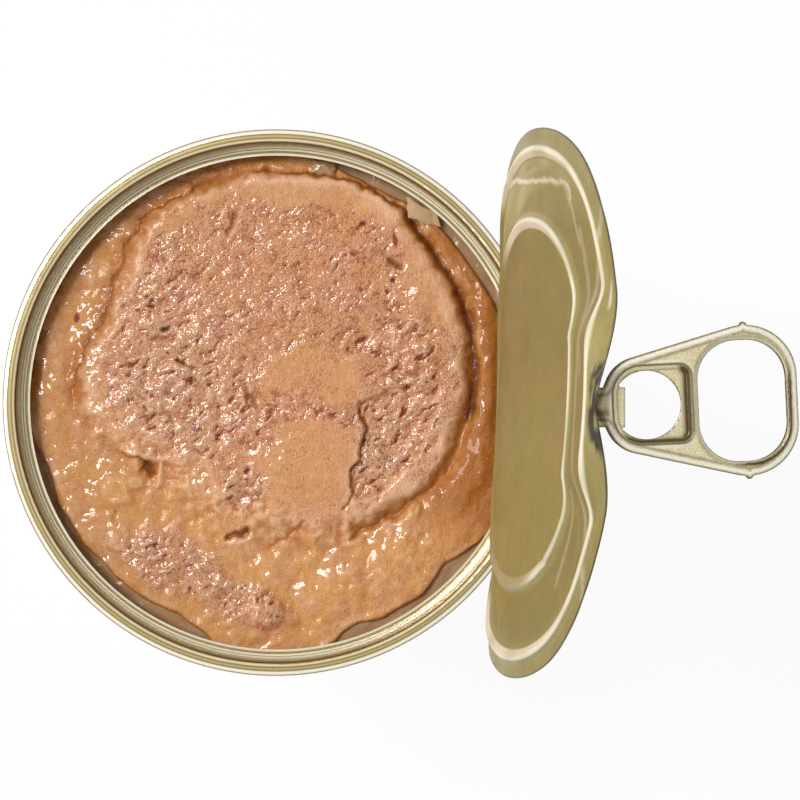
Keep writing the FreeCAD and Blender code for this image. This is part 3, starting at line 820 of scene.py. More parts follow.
# ---- Peeled lid ---------------------------------------------------------------
@dataclass(frozen=True)
class PeeledLid:
    """Lid panel bent up out of the ring, with beads, a dent and wrinkles."""

    sheet: float = 0.25
    base_z: float = 114.575
    crest_z: float = 203.95
    # Lean from upright in degrees against the share of the diameter.
    lean: tuple[Pair, ...] = ((0.000, -90.0), (0.010, -90.0), (0.040, -12.5), (0.210, -5.0),
                              (0.360, 6.0), (0.510, 15.0), (0.660, 17.5), (0.865, 13.4),
                              (0.890, 17.0), (1.000, 14.5))
    crease_at: float = 0.877      # share of the diameter at which the lean breaks
    skew: float = 2.8             # degrees the chords turn about the upright
    skew_from: float = 35.0       # distance over which that turn builds up
    beads: tuple[Triple, ...] = ((43.3, 1.2, 0.75), (31.105, 1.15, 0.65))
    bead_flank: float = 1.3
    dent_depth: float = 3.6
    dent_reach: float = 34.0
    dent_flat: float = 9.5
    dent_width: float = 19.0
    dent_width_edge: float = 14.5
    # Dimples beside the inner bead: along, across, half sizes, depth.
    dimples: tuple[tuple[float, float, float, float, float], ...] = (
        (27.6, 10.6, 1.6, 1.0, 0.35), (27.2, -11.4, 1.6, 1.0, 0.35))
    wrinkles: tuple[tuple[Pair, ...], ...] = (
        ((-20.0, -28.0), (-12.0, -34.0), (-6.0, -42.0)), ((-26.0, -30.0), (-18.0, -37.0)),
        ((6.0, -22.0), (18.0, -27.0), (26.0, -24.0)),
        ((32.0, -13.0), (33.0, -19.0), (31.0, -28.0)))
    # Painted highlight streaks: line, half width, strength.
    highlight_streaks: tuple[tuple[tuple[Pair, ...], float, float], ...] = (
        (((-17.5, 38.4), (-11.0, 39.2), (0.3, 37.8), (8.4, 37.5), (13.6, 36.7), (16.8, 36.4),
          (19.4, 35.2), (20.2, 33.4)), 0.35, 0.7),
        (((17.0, 36.0), (21.6, 31.0), (25.6, 26.0)), 0.4, 0.3),
        (((25.6, 27.8), (30.5, 20.0), (35.4, 11.4), (37.5, 5.0)), 0.7, 0.22),
        (((30.5, -14.0), (27.5, -22.0), (22.0, -30.0)), 0.5, 0.25),
        (((41.4, 19.0), (43.0, 15.2)), 0.3, 0.6))
    rows: int = 150
    columns: int = 256
    # The olive lacquer, darker than the other ends', is a painted dark reflection; bright and fold
    # are painted highlight and painted shade.
    finish: LacqueredTinplate = LacqueredTinplate(
        "tinplate_lid_gold_lacquer", "#968749", "#7D713C", 0.45, metallic=0.22,
        grain=GrainRun.SHEET, grain_depth=0.35, coat=0.15, bright="#DDD3BA",
        painted_light_layer="Bead", fold="#241803", sand=0.1)

    def middle_line(self) -> tuple[Array, Array, Array, Array]:
        """Distance, x, z and lean along the lid's middle line, finely stepped.

        Returns:
            The four values at each step; mm, and radians for the lean.
        """
        distance = np.linspace(0.0, 2 * LID_R, 4001)
        shares = np.array([s for s, _ in self.lean]) * 2 * LID_R
        lean = np.radians(np.interp(distance, shares, [a for _, a in self.lean]))
        half = (lean[1:] + lean[:-1]) / 2
        step = np.diff(distance)
        x = LID_R + np.concatenate([[0.0], np.cumsum(np.sin(half) * step)])
        z = self.base_z + np.concatenate([[0.0], np.cumsum(np.cos(half) * step)])
        return distance, x, z, lean

    def dent(self, distance: Array, across: Array) -> Array:
        """How far the pull's nose pushed the sheet in.

        Args:
            distance: Distance from the fold, mm.
            across: Places across the lid, mm.

        Returns:
            Depth in mm at each place.
        """
        depth = self.dent_depth * smooth(1 - (2 * LID_R - distance) / self.dent_reach)
        edge = smooth(1 - (2 * LID_R - distance) / 6.0)
        flat = self.dent_flat * (1 - edge)
        width = self.dent_width + (self.dent_width_edge - self.dent_width) * edge
        share = (np.abs(across) - flat) / (width - flat)
        soft, sharp = 1 - smooth(share), 1 - np.clip(share, 0.0, 1.0)
        return depth * (soft + (sharp - soft) * 0.6 * edge)

    def formed(self, radius: Array) -> Array:
        """Rise of the rolled beads, towards the lid's inner face.

        Args:
            radius: Distance from the lid's middle, mm.

        Returns:
            Height off the flat sheet, mm.
        """
        rise = np.zeros_like(radius)
        for bead_r, half, height in self.beads:
            share = np.clip(np.abs(radius - bead_r) / (self.bead_flank * half), 0.0, 1.0)
            rise -= height * (1 - smooth(share))
        return rise

    def knocks(self, along: Array, across: Array) -> Array:
        """Dimples, wrinkles and slow waves of the handled sheet, in mm.

        Args:
            along: Places along the flat lid from its middle, mm.
            across: Places across it, mm.

        Returns:
            Height off the flat sheet, mm.
        """
        off = 0.1 * fractal(along, across, 26.0, 2, 61)
        off += 0.03 * fractal(along, across * 0.3, 5.0, 2, 62)
        for a, c, wide, tall, deep in self.dimples:
            off -= deep * np.exp(-((along - a) / wide) ** 2 - ((across - c) / tall) ** 2)
        for line in self.wrinkles:
            away, share = line_distance(along, across, line)
            off += 0.28 * np.exp(-(away / 0.6) ** 2) * smooth(share * 4) * smooth((1 - share) * 4)
        return off

    def light_and_shade_marks(self, along: Array, across: Array) -> tuple[Array, Array]:
        """Where painted highlights and painted shade lie on the lid.

        Args:
            along: Places along the flat lid from its middle, mm.
            across: Places across it, mm.

        Returns:
            Bright and shaded shares of 0 to 1.
        """
        radius = np.hypot(along, across)
        bright = np.zeros_like(radius)
        ends = smooth((np.abs(across) - 33.0) / 4.0)
        low_side = smooth((-16.0 - across) / 10.0) * smooth((14.0 - along) / 10.0)
        # Painted highlight bands on the beads: both stay bright high up, and the outer
        # one at its two sides as well; the inner one fades low down on one side.
        high_up = smooth((along + 20.0) / 10.0)
        for (bead_r, half, _), shown, fade in zip(
                self.beads, (np.maximum(high_up, ends), high_up), (1.0, 1 - 0.75 * low_side)):
            away = np.abs(radius - bead_r + 0.3 * half)
            band = smooth((0.75 * half - away) / 0.2 + 0.5)
            bright = np.maximum(bright, band * shown * fade)
        bright *= 0.72 + 0.28 * smooth(fractal(along, across, 14.0, 2, 63) / 0.5 + 0.8)
        for line, half, share in self.highlight_streaks:
            away, _ = line_distance(along, across + 0.35 * fractal(along, across, 2.5, 2, 64),
                                    line)
            bright = np.maximum(bright, share * smooth((half - away) / 0.3 + 0.5))
        # Painted highlights in the dimples.
        for a, c, wide, tall, _ in self.dimples:
            spot = np.exp(-((along - a) / wide) ** 2 - ((across - c) / tall) ** 2)
            bright = np.maximum(bright, smooth(spot * 2.2 - 0.4))
        # A painted highlight along the crease where the lean breaks, and painted shade along the
        # cut edge.
        crease = np.exp(-((along + LID_R - self.crease_at * 2 * LID_R) / 0.7) ** 2)
        bright = np.maximum(bright, 0.35 * crease)
        fold = 0.7 * smooth((radius - LID_R + 0.35) / 0.2)
        # Painted shade, mottled, where the nose was forced under the edge.
        nose_shade = (smooth((along - 43.8) / 1.2) * smooth((8.6 - np.abs(across)) / 1.2)
                   * smooth(fractal(along, across, 2.0, 3, 65) / 0.3 + 1.2))
        fold = np.maximum(fold, nose_shade)
        # Painted shade inside the inner bead on one side, and between the beads high up.
        middle_shade = smooth((31.0 - radius) / 3.0) * smooth((across + 4.0) / 12.0)
        between = smooth((radius - 32.5) / 1.0) * smooth((41.5 - radius) / 1.0)
        fold = np.maximum(fold, 0.15 * np.maximum(middle_shade, between * smooth((along + 8.0) / 8.0)))
        return bright * (1 - nose_shade), fold

    def place(self, flat: Array) -> Array:
        """Take corners of the flat lid to the bent one.

        Args:
            flat: Along, across and height off the sheet's middle, in mm.

        Returns:
            Places in the can's frame, in mm.
        """
        along, across, off = flat[:, 0], flat[:, 1], flat[:, 2]
        off = off + self.formed(np.hypot(along, across)) + self.knocks(along, across)
        steps, xs, zs, leans = self.middle_line()
        distance = LID_R + along
        x, z = np.interp(distance, steps, xs), np.interp(distance, steps, zs)
        lean = np.interp(distance, steps, leans)
        turn = math.tan(math.radians(self.skew)) * smooth(distance / self.skew_from)
        x = x + off * np.cos(lean) - self.dent(distance, across) + across * turn
        height = np.minimum(z - off * np.sin(lean), self.crest_z)
        return np.stack([x, across, height], axis=1)

    def build(self) -> bpy.types.Object:
        """Spin the flat panel, give it its gauge and bend it.

        Returns:
            The new piece.
        """
        bm = bmesh.new()
        near, far = bm.verts.new((0, 0, 0)), bm.verts.new((LID_R, 0, 0))
        edge = bm.edges.new((near, far))
        bmesh.ops.subdivide_edges(bm, edges=[edge], cuts=self.rows - 1)
        bmesh.ops.spin(bm, geom=bm.verts[:] + bm.edges[:], cent=(0, 0, 0), axis=(0, 0, 1),
                       angle=2 * math.pi, steps=self.columns, use_merge=True)
        bmesh.ops.remove_doubles(bm, verts=bm.verts[:], dist=1e-4)
        bmesh.ops.recalc_face_normals(bm, faces=bm.faces[:])
        bmesh.ops.solidify(bm, geom=bm.faces[:], thickness=self.sheet)
        middle = sum(v.co.z for v in bm.verts) / len(bm.verts)
        for vert in bm.verts:
            vert.co.z -= middle
        bmesh.ops.recalc_face_normals(bm, faces=bm.faces[:])
        flat = bm.loops.layers.uv.new("Sheet")
        for face in bm.faces:
            for loop in face.loops:
                loop[flat].uv = (loop.vert.co.y * MM * 10, loop.vert.co.x * MM * 10)
        marks: list[Array] = []

        def place(at: Array) -> Array:
            """Bend the sheet, and keep its painted highlights and shade."""
            marks.extend(self.light_and_shade_marks(at[:, 0], at[:, 1]))
            return self.place(at)

        piece = mesh_object("peeled_lid", bm, place, self.finish.build())
        paint(piece.data, "Bead", marks)
        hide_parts("lid_panel")
        return piece


# ---- Ring pull -----------------------------------------------------------------
@dataclass(frozen=True)
class RingPull:
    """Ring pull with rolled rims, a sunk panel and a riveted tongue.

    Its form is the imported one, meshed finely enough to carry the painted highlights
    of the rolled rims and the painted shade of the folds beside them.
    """

    grain: float = 0.12           # edge of one mesh cell, mm
    cell: float = 0.1             # raster the outlines are measured on, mm
    plate_z: float = 197.3        # the tongue's fold hangs below this
    nose: Pair = (53.63, -0.65)
    yaw: float = 2.7
    finger: Triple = (22.7, 6.75, 9.35)     # centre along, half sizes
    tongue_hole: Pair = (7.9, 5.3)
    panel: Triple = (15.0, 6.15, 1.9)       # straight end, half width, corner
    cheek: Triple = (7.2, 1.6, 4.55)        # round fore end: along, aside, radius
    # bright and fold are the painted highlight and painted shade of the rims and folds.
    finish: LacqueredTinplate = LacqueredTinplate(
        "tinplate_pull_pale_lacquer", "#E6DBB4", "#DBCEA0", 0.3, metallic=0.4,
        grain_depth=0.6, coat=0.1, painted_light_layer="Curl", bright="#F8F3E4", fold="#4A3A10", sand=0.2)

    def finely(self, node: bpy.types.Object) -> bmesh.types.BMesh:
        """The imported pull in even, small cells, in mm.

        Args:
            node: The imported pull.

        Returns:
            The mesh, which the caller frees.
        """
        bm = bmesh.new()
        bm.from_mesh(node.data)
        bm.transform(Matrix.Scale(1 / MM, 4) @ node.matrix_world)
        bmesh.ops.remove_doubles(bm, verts=bm.verts[:], dist=1e-3)
        draft = bpy.data.meshes.new("pull_draft")
        bm.to_mesh(draft)
        bm.free()
        holder = bpy.data.objects.new("pull_draft", draft)
        bpy.context.scene.collection.objects.link(holder)
        remesh = holder.modifiers.new("even", "REMESH")
        remesh.mode, remesh.voxel_size, remesh.adaptivity = "VOXEL", self.grain, 0.0
        seen = holder.evaluated_get(bpy.context.evaluated_depsgraph_get())
        fine = bmesh.new()
        fine.from_mesh(seen.to_mesh())
        seen.to_mesh_clear()
        bpy.data.objects.remove(holder)
        bpy.data.meshes.remove(draft)
        bmesh.ops.smooth_vert(fine, verts=fine.verts[:], factor=0.5, use_axis_x=True,
                              use_axis_y=True, use_axis_z=True)
        return fine

    def along(self, x: Array, y: Array) -> tuple[Array, Array]:
        """Places in the pull's own plan: along from the nose, and aside.

        Args:
            x: Places in plan, mm.
            y: Places in plan, mm.

        Returns:
            Distance from the nose and aside of the middle line, mm.
        """
        c, s = math.cos(math.radians(self.yaw)), math.sin(math.radians(self.yaw))
        dx, dy = x - self.nose[0], y - self.nose[1]
        return dx * c + dy * s, dy * c - dx * s

    def edges(self, x: Array, y: Array, plate: Array) -> list[Array]:
        """Distance of every place from the outline and from each hole.

        Args:
            x: Places in plan, mm.
            y: Places in plan, mm.
            plate: True for places on the ring itself.

        Returns:
            Distances in mm from the outer edge, finger hole and tongue hole.
        """
        low_x, low_y = x.min() - 1.0, y.min() - 1.0
        col = ((x - low_x) / self.cell).astype(int)
        row = ((y - low_y) / self.cell).astype(int)
        filled = np.zeros((row.max() + 12, col.max() + 12))
        filled[row[plate], col[plate]] = 1.0
        side = max(filled.shape)
        filled = np.pad(filled, [(0, side - n) for n in filled.shape])
        solid = blurred(filled, 2) > 0.3
        inner = blurred(solid.astype(float), 1) > 0.99
        rows, cols = np.nonzero(solid & ~inner)
        edge_x, edge_y = low_x + (cols + 0.5) * self.cell, low_y + (rows + 0.5) * self.cell
        u, v = self.along(edge_x, edge_y)
        in_finger = ((np.abs(u - self.finger[0]) / (self.finger[1] + 0.5)) ** 4
                     + (np.abs(v) / (self.finger[2] + 0.5)) ** 4) < 1.0
        in_tongue = ~in_finger & (np.hypot(u - self.tongue_hole[0], v)
                                  < self.tongue_hole[1] + 0.5)
        found = []
        cells_r, cells_c = np.nonzero(blurred(filled, 3) > 0.0)
        for chosen in (~in_finger & ~in_tongue, in_finger, in_tongue):
            away = np.full(filled.shape, 9.0)
            ex, ey = edge_x[chosen][None, :], edge_y[chosen][None, :]
            for part in np.array_split(np.arange(len(cells_r)), 60):
                cx = low_x + (cells_c[part] + 0.5) * self.cell
                cy = low_y + (cells_r[part] + 0.5) * self.cell
                away[cells_r[part], cells_c[part]] = np.sqrt(
                    ((cx[:, None] - ex) ** 2 + (cy[:, None] - ey) ** 2).min(axis=1))
            found.append(away[row, col])
        return found

    def inside_panel(self, u: Array, v: Array) -> Array:
        """Distance inside the sunk panel's outline, negative outside.

        Args:
            u: Distance from the nose, mm.
            v: Distance aside, mm.

        Returns:
            The distance at each place.
        """
        back, half, corner = self.panel
        cheek, aside, round_r = self.cheek
        du, dv = u - (back - corner), np.abs(v) - (half - corner)
        far = corner - np.hypot(np.maximum(du, 0), np.maximum(dv, 0)) + np.where(
            (du < 0) & (dv < 0), np.minimum(-du, -dv), 0.0)
        near = round_r - np.hypot(cheek - u, np.maximum(np.abs(v) - aside, 0))
        return np.where(u < cheek, np.minimum(far, near), far)

    def shine(self, at: Array) -> tuple[Array, Array]:
        """Painted highlights where the rims shine, and painted shade in the folds.

        Args:
            at: Corners (n, 3) of the pull, mm.

        Returns:
            Bright and shaded shares of 0 to 1.
        """
        x, y, z = at[:, 0], at[:, 1], at[:, 2]
        plate = z > self.plate_z
        outer, finger, hole = self.edges(x, y, plate)
        u, v = self.along(x, y)

        def line(away: Array, middle: float, half: float) -> Array:
            """A soft line at a distance."""
            return np.exp(-((away - middle) / half) ** 2)

        sunk = self.inside_panel(u, v)
        back = smooth((u - 12.3) / 1.6)
        lower = smooth((-v - 3.6) / 1.8)
        # Painted highlights on the rolled rims, the finger hole and the sunk panel's edge.
        bright = 0.8 * line(outer, 0.7, 0.42)
        bright = np.maximum(bright, 0.55 * line(finger, 0.25, 0.18))
        bright = np.maximum(bright, 0.7 * line(sunk, -0.4, 0.25) * (outer > 1.0))
        # Painted shade along the outline, round the sunk panel and in the holes.
        fold = 1.0 * line(outer, 0.0, 0.27)
        fold = np.maximum(fold, 0.95 * back * line(sunk, 0.72, 0.8))
        fold = np.maximum(fold, 0.9 * lower * line(sunk, 0.5, 0.5))
        fold = np.maximum(fold, 0.8 * line(sunk, 0.0, 0.17))
        fold = np.maximum(fold, 0.5 * line(sunk, 0.75, 0.14))
        fold = np.maximum(fold, 0.45 * line(outer, 1.3, 0.25) * (finger > 0.9) * (sunk < -0.2))
        far = smooth((u - 19.0) / 6.0) * smooth((4.0 - v) / 6.0 + 0.6)
        fold = np.maximum(fold, (0.35 + 0.6 * far) * line(finger, 0.62, 0.38))
        fold = np.maximum(fold, 1.0 * line(finger, 0.0, 0.2))
        fold = np.maximum(fold, 0.9 * line(hole, 0.0, 0.18))
        # Painted shade on the pinched nose; the tongue under the ring is painted fully in shade.
        fold = np.maximum(fold, 0.5 * smooth((2.6 - u) / 1.2) * line(v, -0.9, 0.7))
        fold = np.where(plate, np.minimum(1.25 * fold, 1.0), 1.0)
        return bright * (1 - fold) * plate, fold

    def build(self, node: bpy.types.Object) -> bpy.types.Object:
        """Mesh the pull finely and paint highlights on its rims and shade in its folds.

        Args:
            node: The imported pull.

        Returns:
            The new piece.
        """
        marks: list[Array] = []

        def place(at: Array) -> Array:
            """Keep the painted highlight and shade of every corner, and leave it where it is."""
            marks.extend(self.shine(at))
            return at

        piece = mesh_object("ring_pull", self.finely(node), place, self.finish.build())
        paint(piece.data, "Curl", marks)
        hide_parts("pull_tab")
        return piece


# ---- Filling -------------------------------------------------------------------
@dataclass(frozen=True)
class MeatLoaf:
    """Torn top of the loaf, down to where the jelly and wall hide it."""

    cells: int = 300
    reach: float = 48.98
    low: float = 110.9
    plateau_rise: float = 2.0
    shoulder: float = 3.0
    skirt: float = 14.0
    # How sharply the plateau ends, against the bearing from its middle.
    firmness: tuple[Pair, ...] = (
        (0, 1.0), (84, 1.0), (110, 0.7), (140, 0.5), (165, 0.55), (184, 0.8), (196, 0.3),
        (212, 0.05), (284, 0.05), (302, 0.6), (315, 1.0), (360, 1.0))
    # Share of a raised, browner lip outside the plateau, against the bearing; near the lid its
    # browning is partly painted shade.
    lip_share: tuple[Pair, ...] = ((0, 1), (52, 1), (64, 0), (316, 0), (330, 1), (360, 1))
    # Share of painted wall shadow on the meat beside the wall, against the bearing.
    wall_shade: tuple[Pair, ...] = ((72, 0), (90, 0.5), (140, 0.55), (172, 0.85), (190, 0))
    shred_bearing: float = 38.0   # degrees along which most shreds lie
    edge_drop: float = 3.4        # depth below "low" of the meat's edge, under the jelly
    plateau: Region = Region((0.0, 9.0), (
        (-38.7, 4.9), (-37.3, 9.8), (-34.1, 14.6), (-31.8, 19.8), (-31.4, 23.2), (-29.3, 26.5),
        (-28.4, 30.8), (-26.1, 34.5), (-22.1, 37.3), (-15.2, 41.3), (-5.3, 44.2), (2.9, 43.4),
        (7.9, 43.3), (12.7, 42.7), (17.3, 40.8), (23.7, 37.1), (26.0, 33.5), (29.0, 29.5),
        (32.0, 25.0), (34.6, 19.8), (35.6, 16.5), (36.3, 9.8), (36.6, 4.9), (36.2, 0.5),
        (34.2, -4.3), (33.4, -7.1), (32.4, -10.8), (29.4, -14.4), (26.4, -17.2), (22.6, -19.8),
        (18.1, -22.1), (13.2, -24.9), (4.0, -24.0), (-4.0, -23.0), (-12.0, -20.0),
        (-20.0, -12.5), (-27.0, -8.5), (-36.0, -3.5)))
    sunk: Region = Region((21.0, -6.0), (
        (15.3, -0.3), (16.5, -3.5), (16.9, -5.8), (15.5, -9.2), (15.9, -10.6), (13.8, -12.9),
        (14.2, -14.8), (14.4, -17.3), (15.2, -18.4), (19.9, -16.7), (23.7, -13.8),
        (26.4, -10.8), (27.8, -5.8), (30.4, 2.4), (25.0, 3.4), (19.5, 1.5)))
    # Radius where the meat ends in jelly, against the bearing in degrees.
    meat_edge: tuple[Pair, ...] = (
        (0, 46.5), (20, 45.3), (29, 44.9), (38, 44.9), (48, 45.5), (57, 45.0), (67, 44.8),
        (73, 45.4), (78, 47.0), (83, 52), (175, 52), (185, 47.9),
        (196, 45.6), (208, 45.9), (223, 45.2), (237, 45.1), (245, 44.4), (253, 46.2),
        (260, 52), (276, 51), (281, 48.0), (286, 45.4), (290, 44.8), (296, 45.4), (307, 45.5),
        (316, 44.3), (327, 46.8), (336, 49), (348, 48), (360, 46.5))
    # Smeared smooth by the blade that lifted the lid.
    smears: tuple[Patch, ...] = (
        Patch((6.0, -12.5), (11.0, 8.6), 22.0), Patch((2.6, 6.0), (6.5, 3.6), 25.0, soft=0.9),
        Patch((-15.5, -18.0), (5.0, 6.6), -15.0), Patch((-10.0, -24.2), (6.6, 2.5), -38.0),
        Patch((3.0, 41.5), (12.0, 3.4), -5.0, soft=0.8),
        Patch((31.0, 22.0), (5.0, 10.0), 25.0, soft=0.8),
        Patch((12.0, 4.0), (3.6, 5.0), -20.0, soft=0.9))
    # Torn right open, down to the coarse mince.
    tears: tuple[Patch, ...] = (
        Patch((24.6, 7.5), (6.0, 8.6), 12.0, 0.0, 0.5),
        Patch((14.6, 11.8), (3.2, 2.6), 0.0, -0.3, 0.6),
        Patch((-20.0, 4.0), (12.0, 14.0), 30.0, 0.0, 1.2),
        Patch((-10.0, -3.0), (8.0, 5.0), 0.0, 0.0, 1.2),
        Patch((-6.4, -16.4), (4.6, 4.2), 40.0, -0.2, 0.5),
        Patch((-20.0, -30.6), (10.4, 5.6), -24.0, 0.5, 0.5),
        Patch((-6.5, -38.4), (9.0, 3.8), -18.0, 0.4, 0.6),
        Patch((-24.0, 19.0), (5.0, 8.0), -35.0, 0.0, 0.9))
    lumps: tuple[Patch, ...] = (
        Patch((-31.0, -17.1), (3.4, 3.1), 0.0, 0.9, 0.9),
        Patch((-27.0, -15.4), (1.5, 1.2), 0.0, 0.5, 0.8),
        Patch((-2.0, -40.4), (2.6, 2.4), 0.0, 0.8, 0.9),
        Patch((26.0, -20.6), (1.3, 1.7), 0.0, 0.7, 0.8),
        Patch((6.0, -12.0), (11.0, 9.0), 0.0, 0.5, 1.4),
        Patch((30.0, 12.0), (6.0, 13.0), 5.0, 0.6, 1.6),
        Patch((19.0, -32.0), (11.0, 4.5), 25.0, 0.7, 1.2),
        Patch((39.5, 6.0), (2.2, 14.0), 0.0, 0.9, 1.0),
        Patch((37.0, -14.0), (3.0, 6.0), -25.0, 0.7, 1.0),
        Patch((-44.0, 8.0), (3.0, 12.0), 5.0, 0.5, 1.0),
        Patch((-33.0, -24.0), (4.0, 3.0), 0.0, 0.4, 1.0))
    left_edge: tuple[Pair, ...] = (
        (-38.7, 4.9), (-37.3, 9.8), (-34.4, 14.6), (-32.2, 19.8), (-31.8, 23.2),
        (-29.6, 26.5), (-28.8, 30.8), (-26.4, 34.7), (-22.3, 37.6), (-15.2, 41.6))
    creases: tuple[Crease, ...] = (
        # Left and top edge of the plateau: a hair line in a soft orange hollow.
        Crease(((-39.6, 1.0), *left_edge, (-9.0, 43.6)), 0.35, 0.45, 0.75, 0.3),
        Crease(((-40.0, -2.0), *left_edge, (-5.0, 44.0)), 2.0, 0.35, 0.4, 0.6),
        Crease(((-5.3, 44.5), (2.9, 43.8), (7.9, 43.7), (12.7, 43.0), (17.3, 41.1),
                (23.7, 37.4), (26.0, 34.4)), 0.5, 0.6, 0.7, 0.3),
        # Furrow down the right side, full of set fat.
        Crease(((24.0, 36.2), (26.2, 33.6), (29.2, 29.6), (32.3, 24.9), (35.3, 19.6),
                (36.5, 16.3), (37.3, 9.8), (37.9, 4.9), (37.3, 0.5), (35.8, -4.0)),
               1.25, 0.95, 0.88, 0.35),
        Crease(((23.4, 36.0), (25.6, 33.3), (28.6, 29.3), (31.7, 24.6), (34.7, 19.3),
                (35.9, 16.0), (36.7, 9.8), (37.3, 4.9), (36.7, 0.5), (35.2, -4.0)),
               2.5, 0.2, 0.34, 0.6),
        Crease(((37.3, 0.5), (35.6, -4.3), (34.7, -7.1), (33.6, -10.8), (30.5, -14.8),
                (27.3, -18.0), (23.3, -20.6), (18.7, -22.9), (13.4, -25.8)), 1.3, 0.8, 0.36,
               0.5),
        Crease(((27.0, -18.4), (23.3, -20.9), (18.7, -23.2), (13.4, -26.2)), 0.35, 0.45, 0.55,
               0.3),
        # Ragged edge of the smear over the sunk, torn part.
        Crease(((15.3, 0.5), (16.5, -3.5), (16.9, -5.8), (15.6, -9.2), (15.9, -10.6),
                (13.9, -12.9), (14.3, -14.8), (14.5, -17.5), (12.5, -20.5)), 0.3, 0.45, 0.85,
               0.2),
        # Two slits that run in under a flap.
        Crease(((-25.6, -11.6), (-24.6, -12.8), (-23.8, -14.4)), 1.3, 1.5, 0.85, 0.7),
        Crease(((-22.4, -11.6), (-22.0, -13.6), (-22.8, -16.4)), 0.6, -0.5, 0.0),
        Crease(((-9.8, -25.6), (-8.6, -25.4), (-7.4, -25.0), (-5.4, -24.0)), 0.55, 0.9, 0.9,
               0.5),
        Crease(((-8.8, -27.0), (-7.0, -26.4), (-4.4, -25.4)), 0.8, -0.3, 0.0),
        Crease(((-30.0, -8.8), (-27.2, -9.6), (-24.8, -11.0), (-22.6, -11.6)), 0.8, -0.7, 0.0),
        Crease(((-29.6, -9.6), (-27.2, -10.4), (-25.2, -12.0)), 0.4, 0.4, 0.5),
        Crease(((5.2, -22.6), (3.2, -24.6), (1.2, -26.0), (-1.8, -28.2)), 0.35, 0.35, 0.3),
        Crease(((-7.9, 36.6), (-8.5, 34.4), (-9.6, 32.0)), 0.5, 0.6, 0.45),
        Crease(((-19.8, 8.0), (-18.9, 7.5), (-17.8, 7.1)), 0.42, 0.7, 1.25, 0.1),
        Crease(((-18.0, 7.2), (-16.4, 6.8), (-14.6, 6.3)), 0.22, 0.5, 0.7, 0.1),
        Crease(((-22.4, 13.8), (-21.4, 14.0), (-20.3, 14.4)), 0.36, 0.7, 1.2, 0.1),
        Crease(((-24.4, 11.6), (-23.0, 12.6), (-19.5, 12.6)), 0.35, 0.5, 0.4, 0.2),
        Crease(((21.2, 27.3), (23.8, 25.4)), 0.5, 0.6, 0.8, 0.2),
        Crease(((-26.2, -3.0), (-20.5, -2.0), (-19.6, -6.5)), 0.3, 0.4, 0.35),
        Crease(((-7.2, 4.6), (-5.5, 1.5), (-3.4, -1.0)), 0.3, 0.4, 0.45),
        Crease(((-16.5, -8.9), (-14.6, -9.4), (-12.6, -8.6)), 0.3, 0.4, 0.5),
        Crease(((-31.0, -20.6), (-31.4, -22.2), (-30.2, -23.2)), 0.45, 0.45, 0.4))
    blood: tuple[Patch, ...] = (
        Patch((21.8, 23.4), (0.5, 0.5), soft=0.9), Patch((20.9, 21.1), (0.4, 0.4), soft=0.9),
        Patch((22.4, 30.8), (0.4, 1.3), 10.0, -0.5, 1.4),
        Patch((16.1, 34.1), (0.7, 0.4), 30.0, -0.4, 1.4),
        Patch((-38.5, 16.2), (0.5, 0.9), soft=0.7))
    wet: tuple[Patch, ...] = (
        Patch((-37.3, 18.8), (1.2, 2.6)), Patch((-32.6, 19.2), (1.3, 3.0)),
        Patch((-21.6, 29.4), (1.5, 1.5)), Patch((-26.0, 22.2), (1.7, 1.5)),
        Patch((-35.2, 1.3), (1.4, 1.3)), Patch((-40.0, -12.1), (1.5, 1.5)),
        Patch((-20.0, 4.0), (14.0, 16.0), soft=1.4), Patch((-2.0, -25.2), (3.4, 1.2), 10.0),
        Patch((9.5, -27.0), (1.6, 2.2)), Patch((24.0, -27.5), (2.0, 3.2)),
        Patch((12.0, -31.6), (2.0, 1.2)), Patch((29.9, -34.0), (2.4, 1.4)))
    finish: CookedLoaf = CookedLoaf()

    def surface(self, x: Array, y: Array) -> dict[str, Array]:
        """Height and masks of the loaf's top.

        Args:
            x: Places in plan, mm.
            y: Places in plan, mm.

        Returns:
            Height in mm under "z", and masks of 0 to 1 by name.
        """
        wander, cloud = fractal(x, y, 5.0, 4, 5), fractal(x, y, 9.0, 3, 6)
        middle_x, middle_y = self.plateau.middle
        around = np.degrees(np.arctan2(y - middle_y, x - middle_x)) % 360.0
        firm = np.interp(around, *zip(*self.firmness))
        bearing = np.degrees(np.arctan2(y, x)) % 360.0
        inside = (self.plateau.inward(x, y) + (0.7 + 2.0 * (1 - firm)) * wander
                  + 0.3 * fractal(x, y, 1.9, 2, 41))
        high = smooth(inside / (self.shoulder + 7.0 * (1 - firm)) + 0.5)
        z = self.low + self.plateau_rise * high
        east = smooth((x - 20.0) / 8.0)
        heart = smooth((inside - 2.0 + 1.3 * east + 1.5 * wander) / (4.5 - 2.0 * east))
        smear = np.max([patch.cover(x, y) for patch in self.smears], axis=0)
        tear = np.zeros_like(x)
        for patch in self.tears:
            cover = patch.cover(x, y)
            tear = np.maximum(tear, cover)
            z += patch.rise * cover
        sunk = smooth((self.sunk.inward(x, y) + 0.4 * wander) / 0.8 + 0.5)
        z -= 0.7 * sunk
        tear = np.maximum(tear, sunk)
        smear = smear * (1.0 - tear)
        pink = np.clip(np.maximum(heart * (1.0 - 0.85 * smear), 0.9 * tear), 0.0, 1.0)
        # The part towards +X and +Y tore more cleanly.
        calm = smooth((x + 14.0) / 10.0) * smooth((y + 2.0) / 8.0)
        tear = np.maximum(tear, 0.75 * heart * (1 - smear) * smooth(cloud / 0.7 + 0.4)
                          * (1 - 0.6 * calm))
        for patch in self.lumps:
            z += patch.rise * patch.cover(x, y, 0.12)
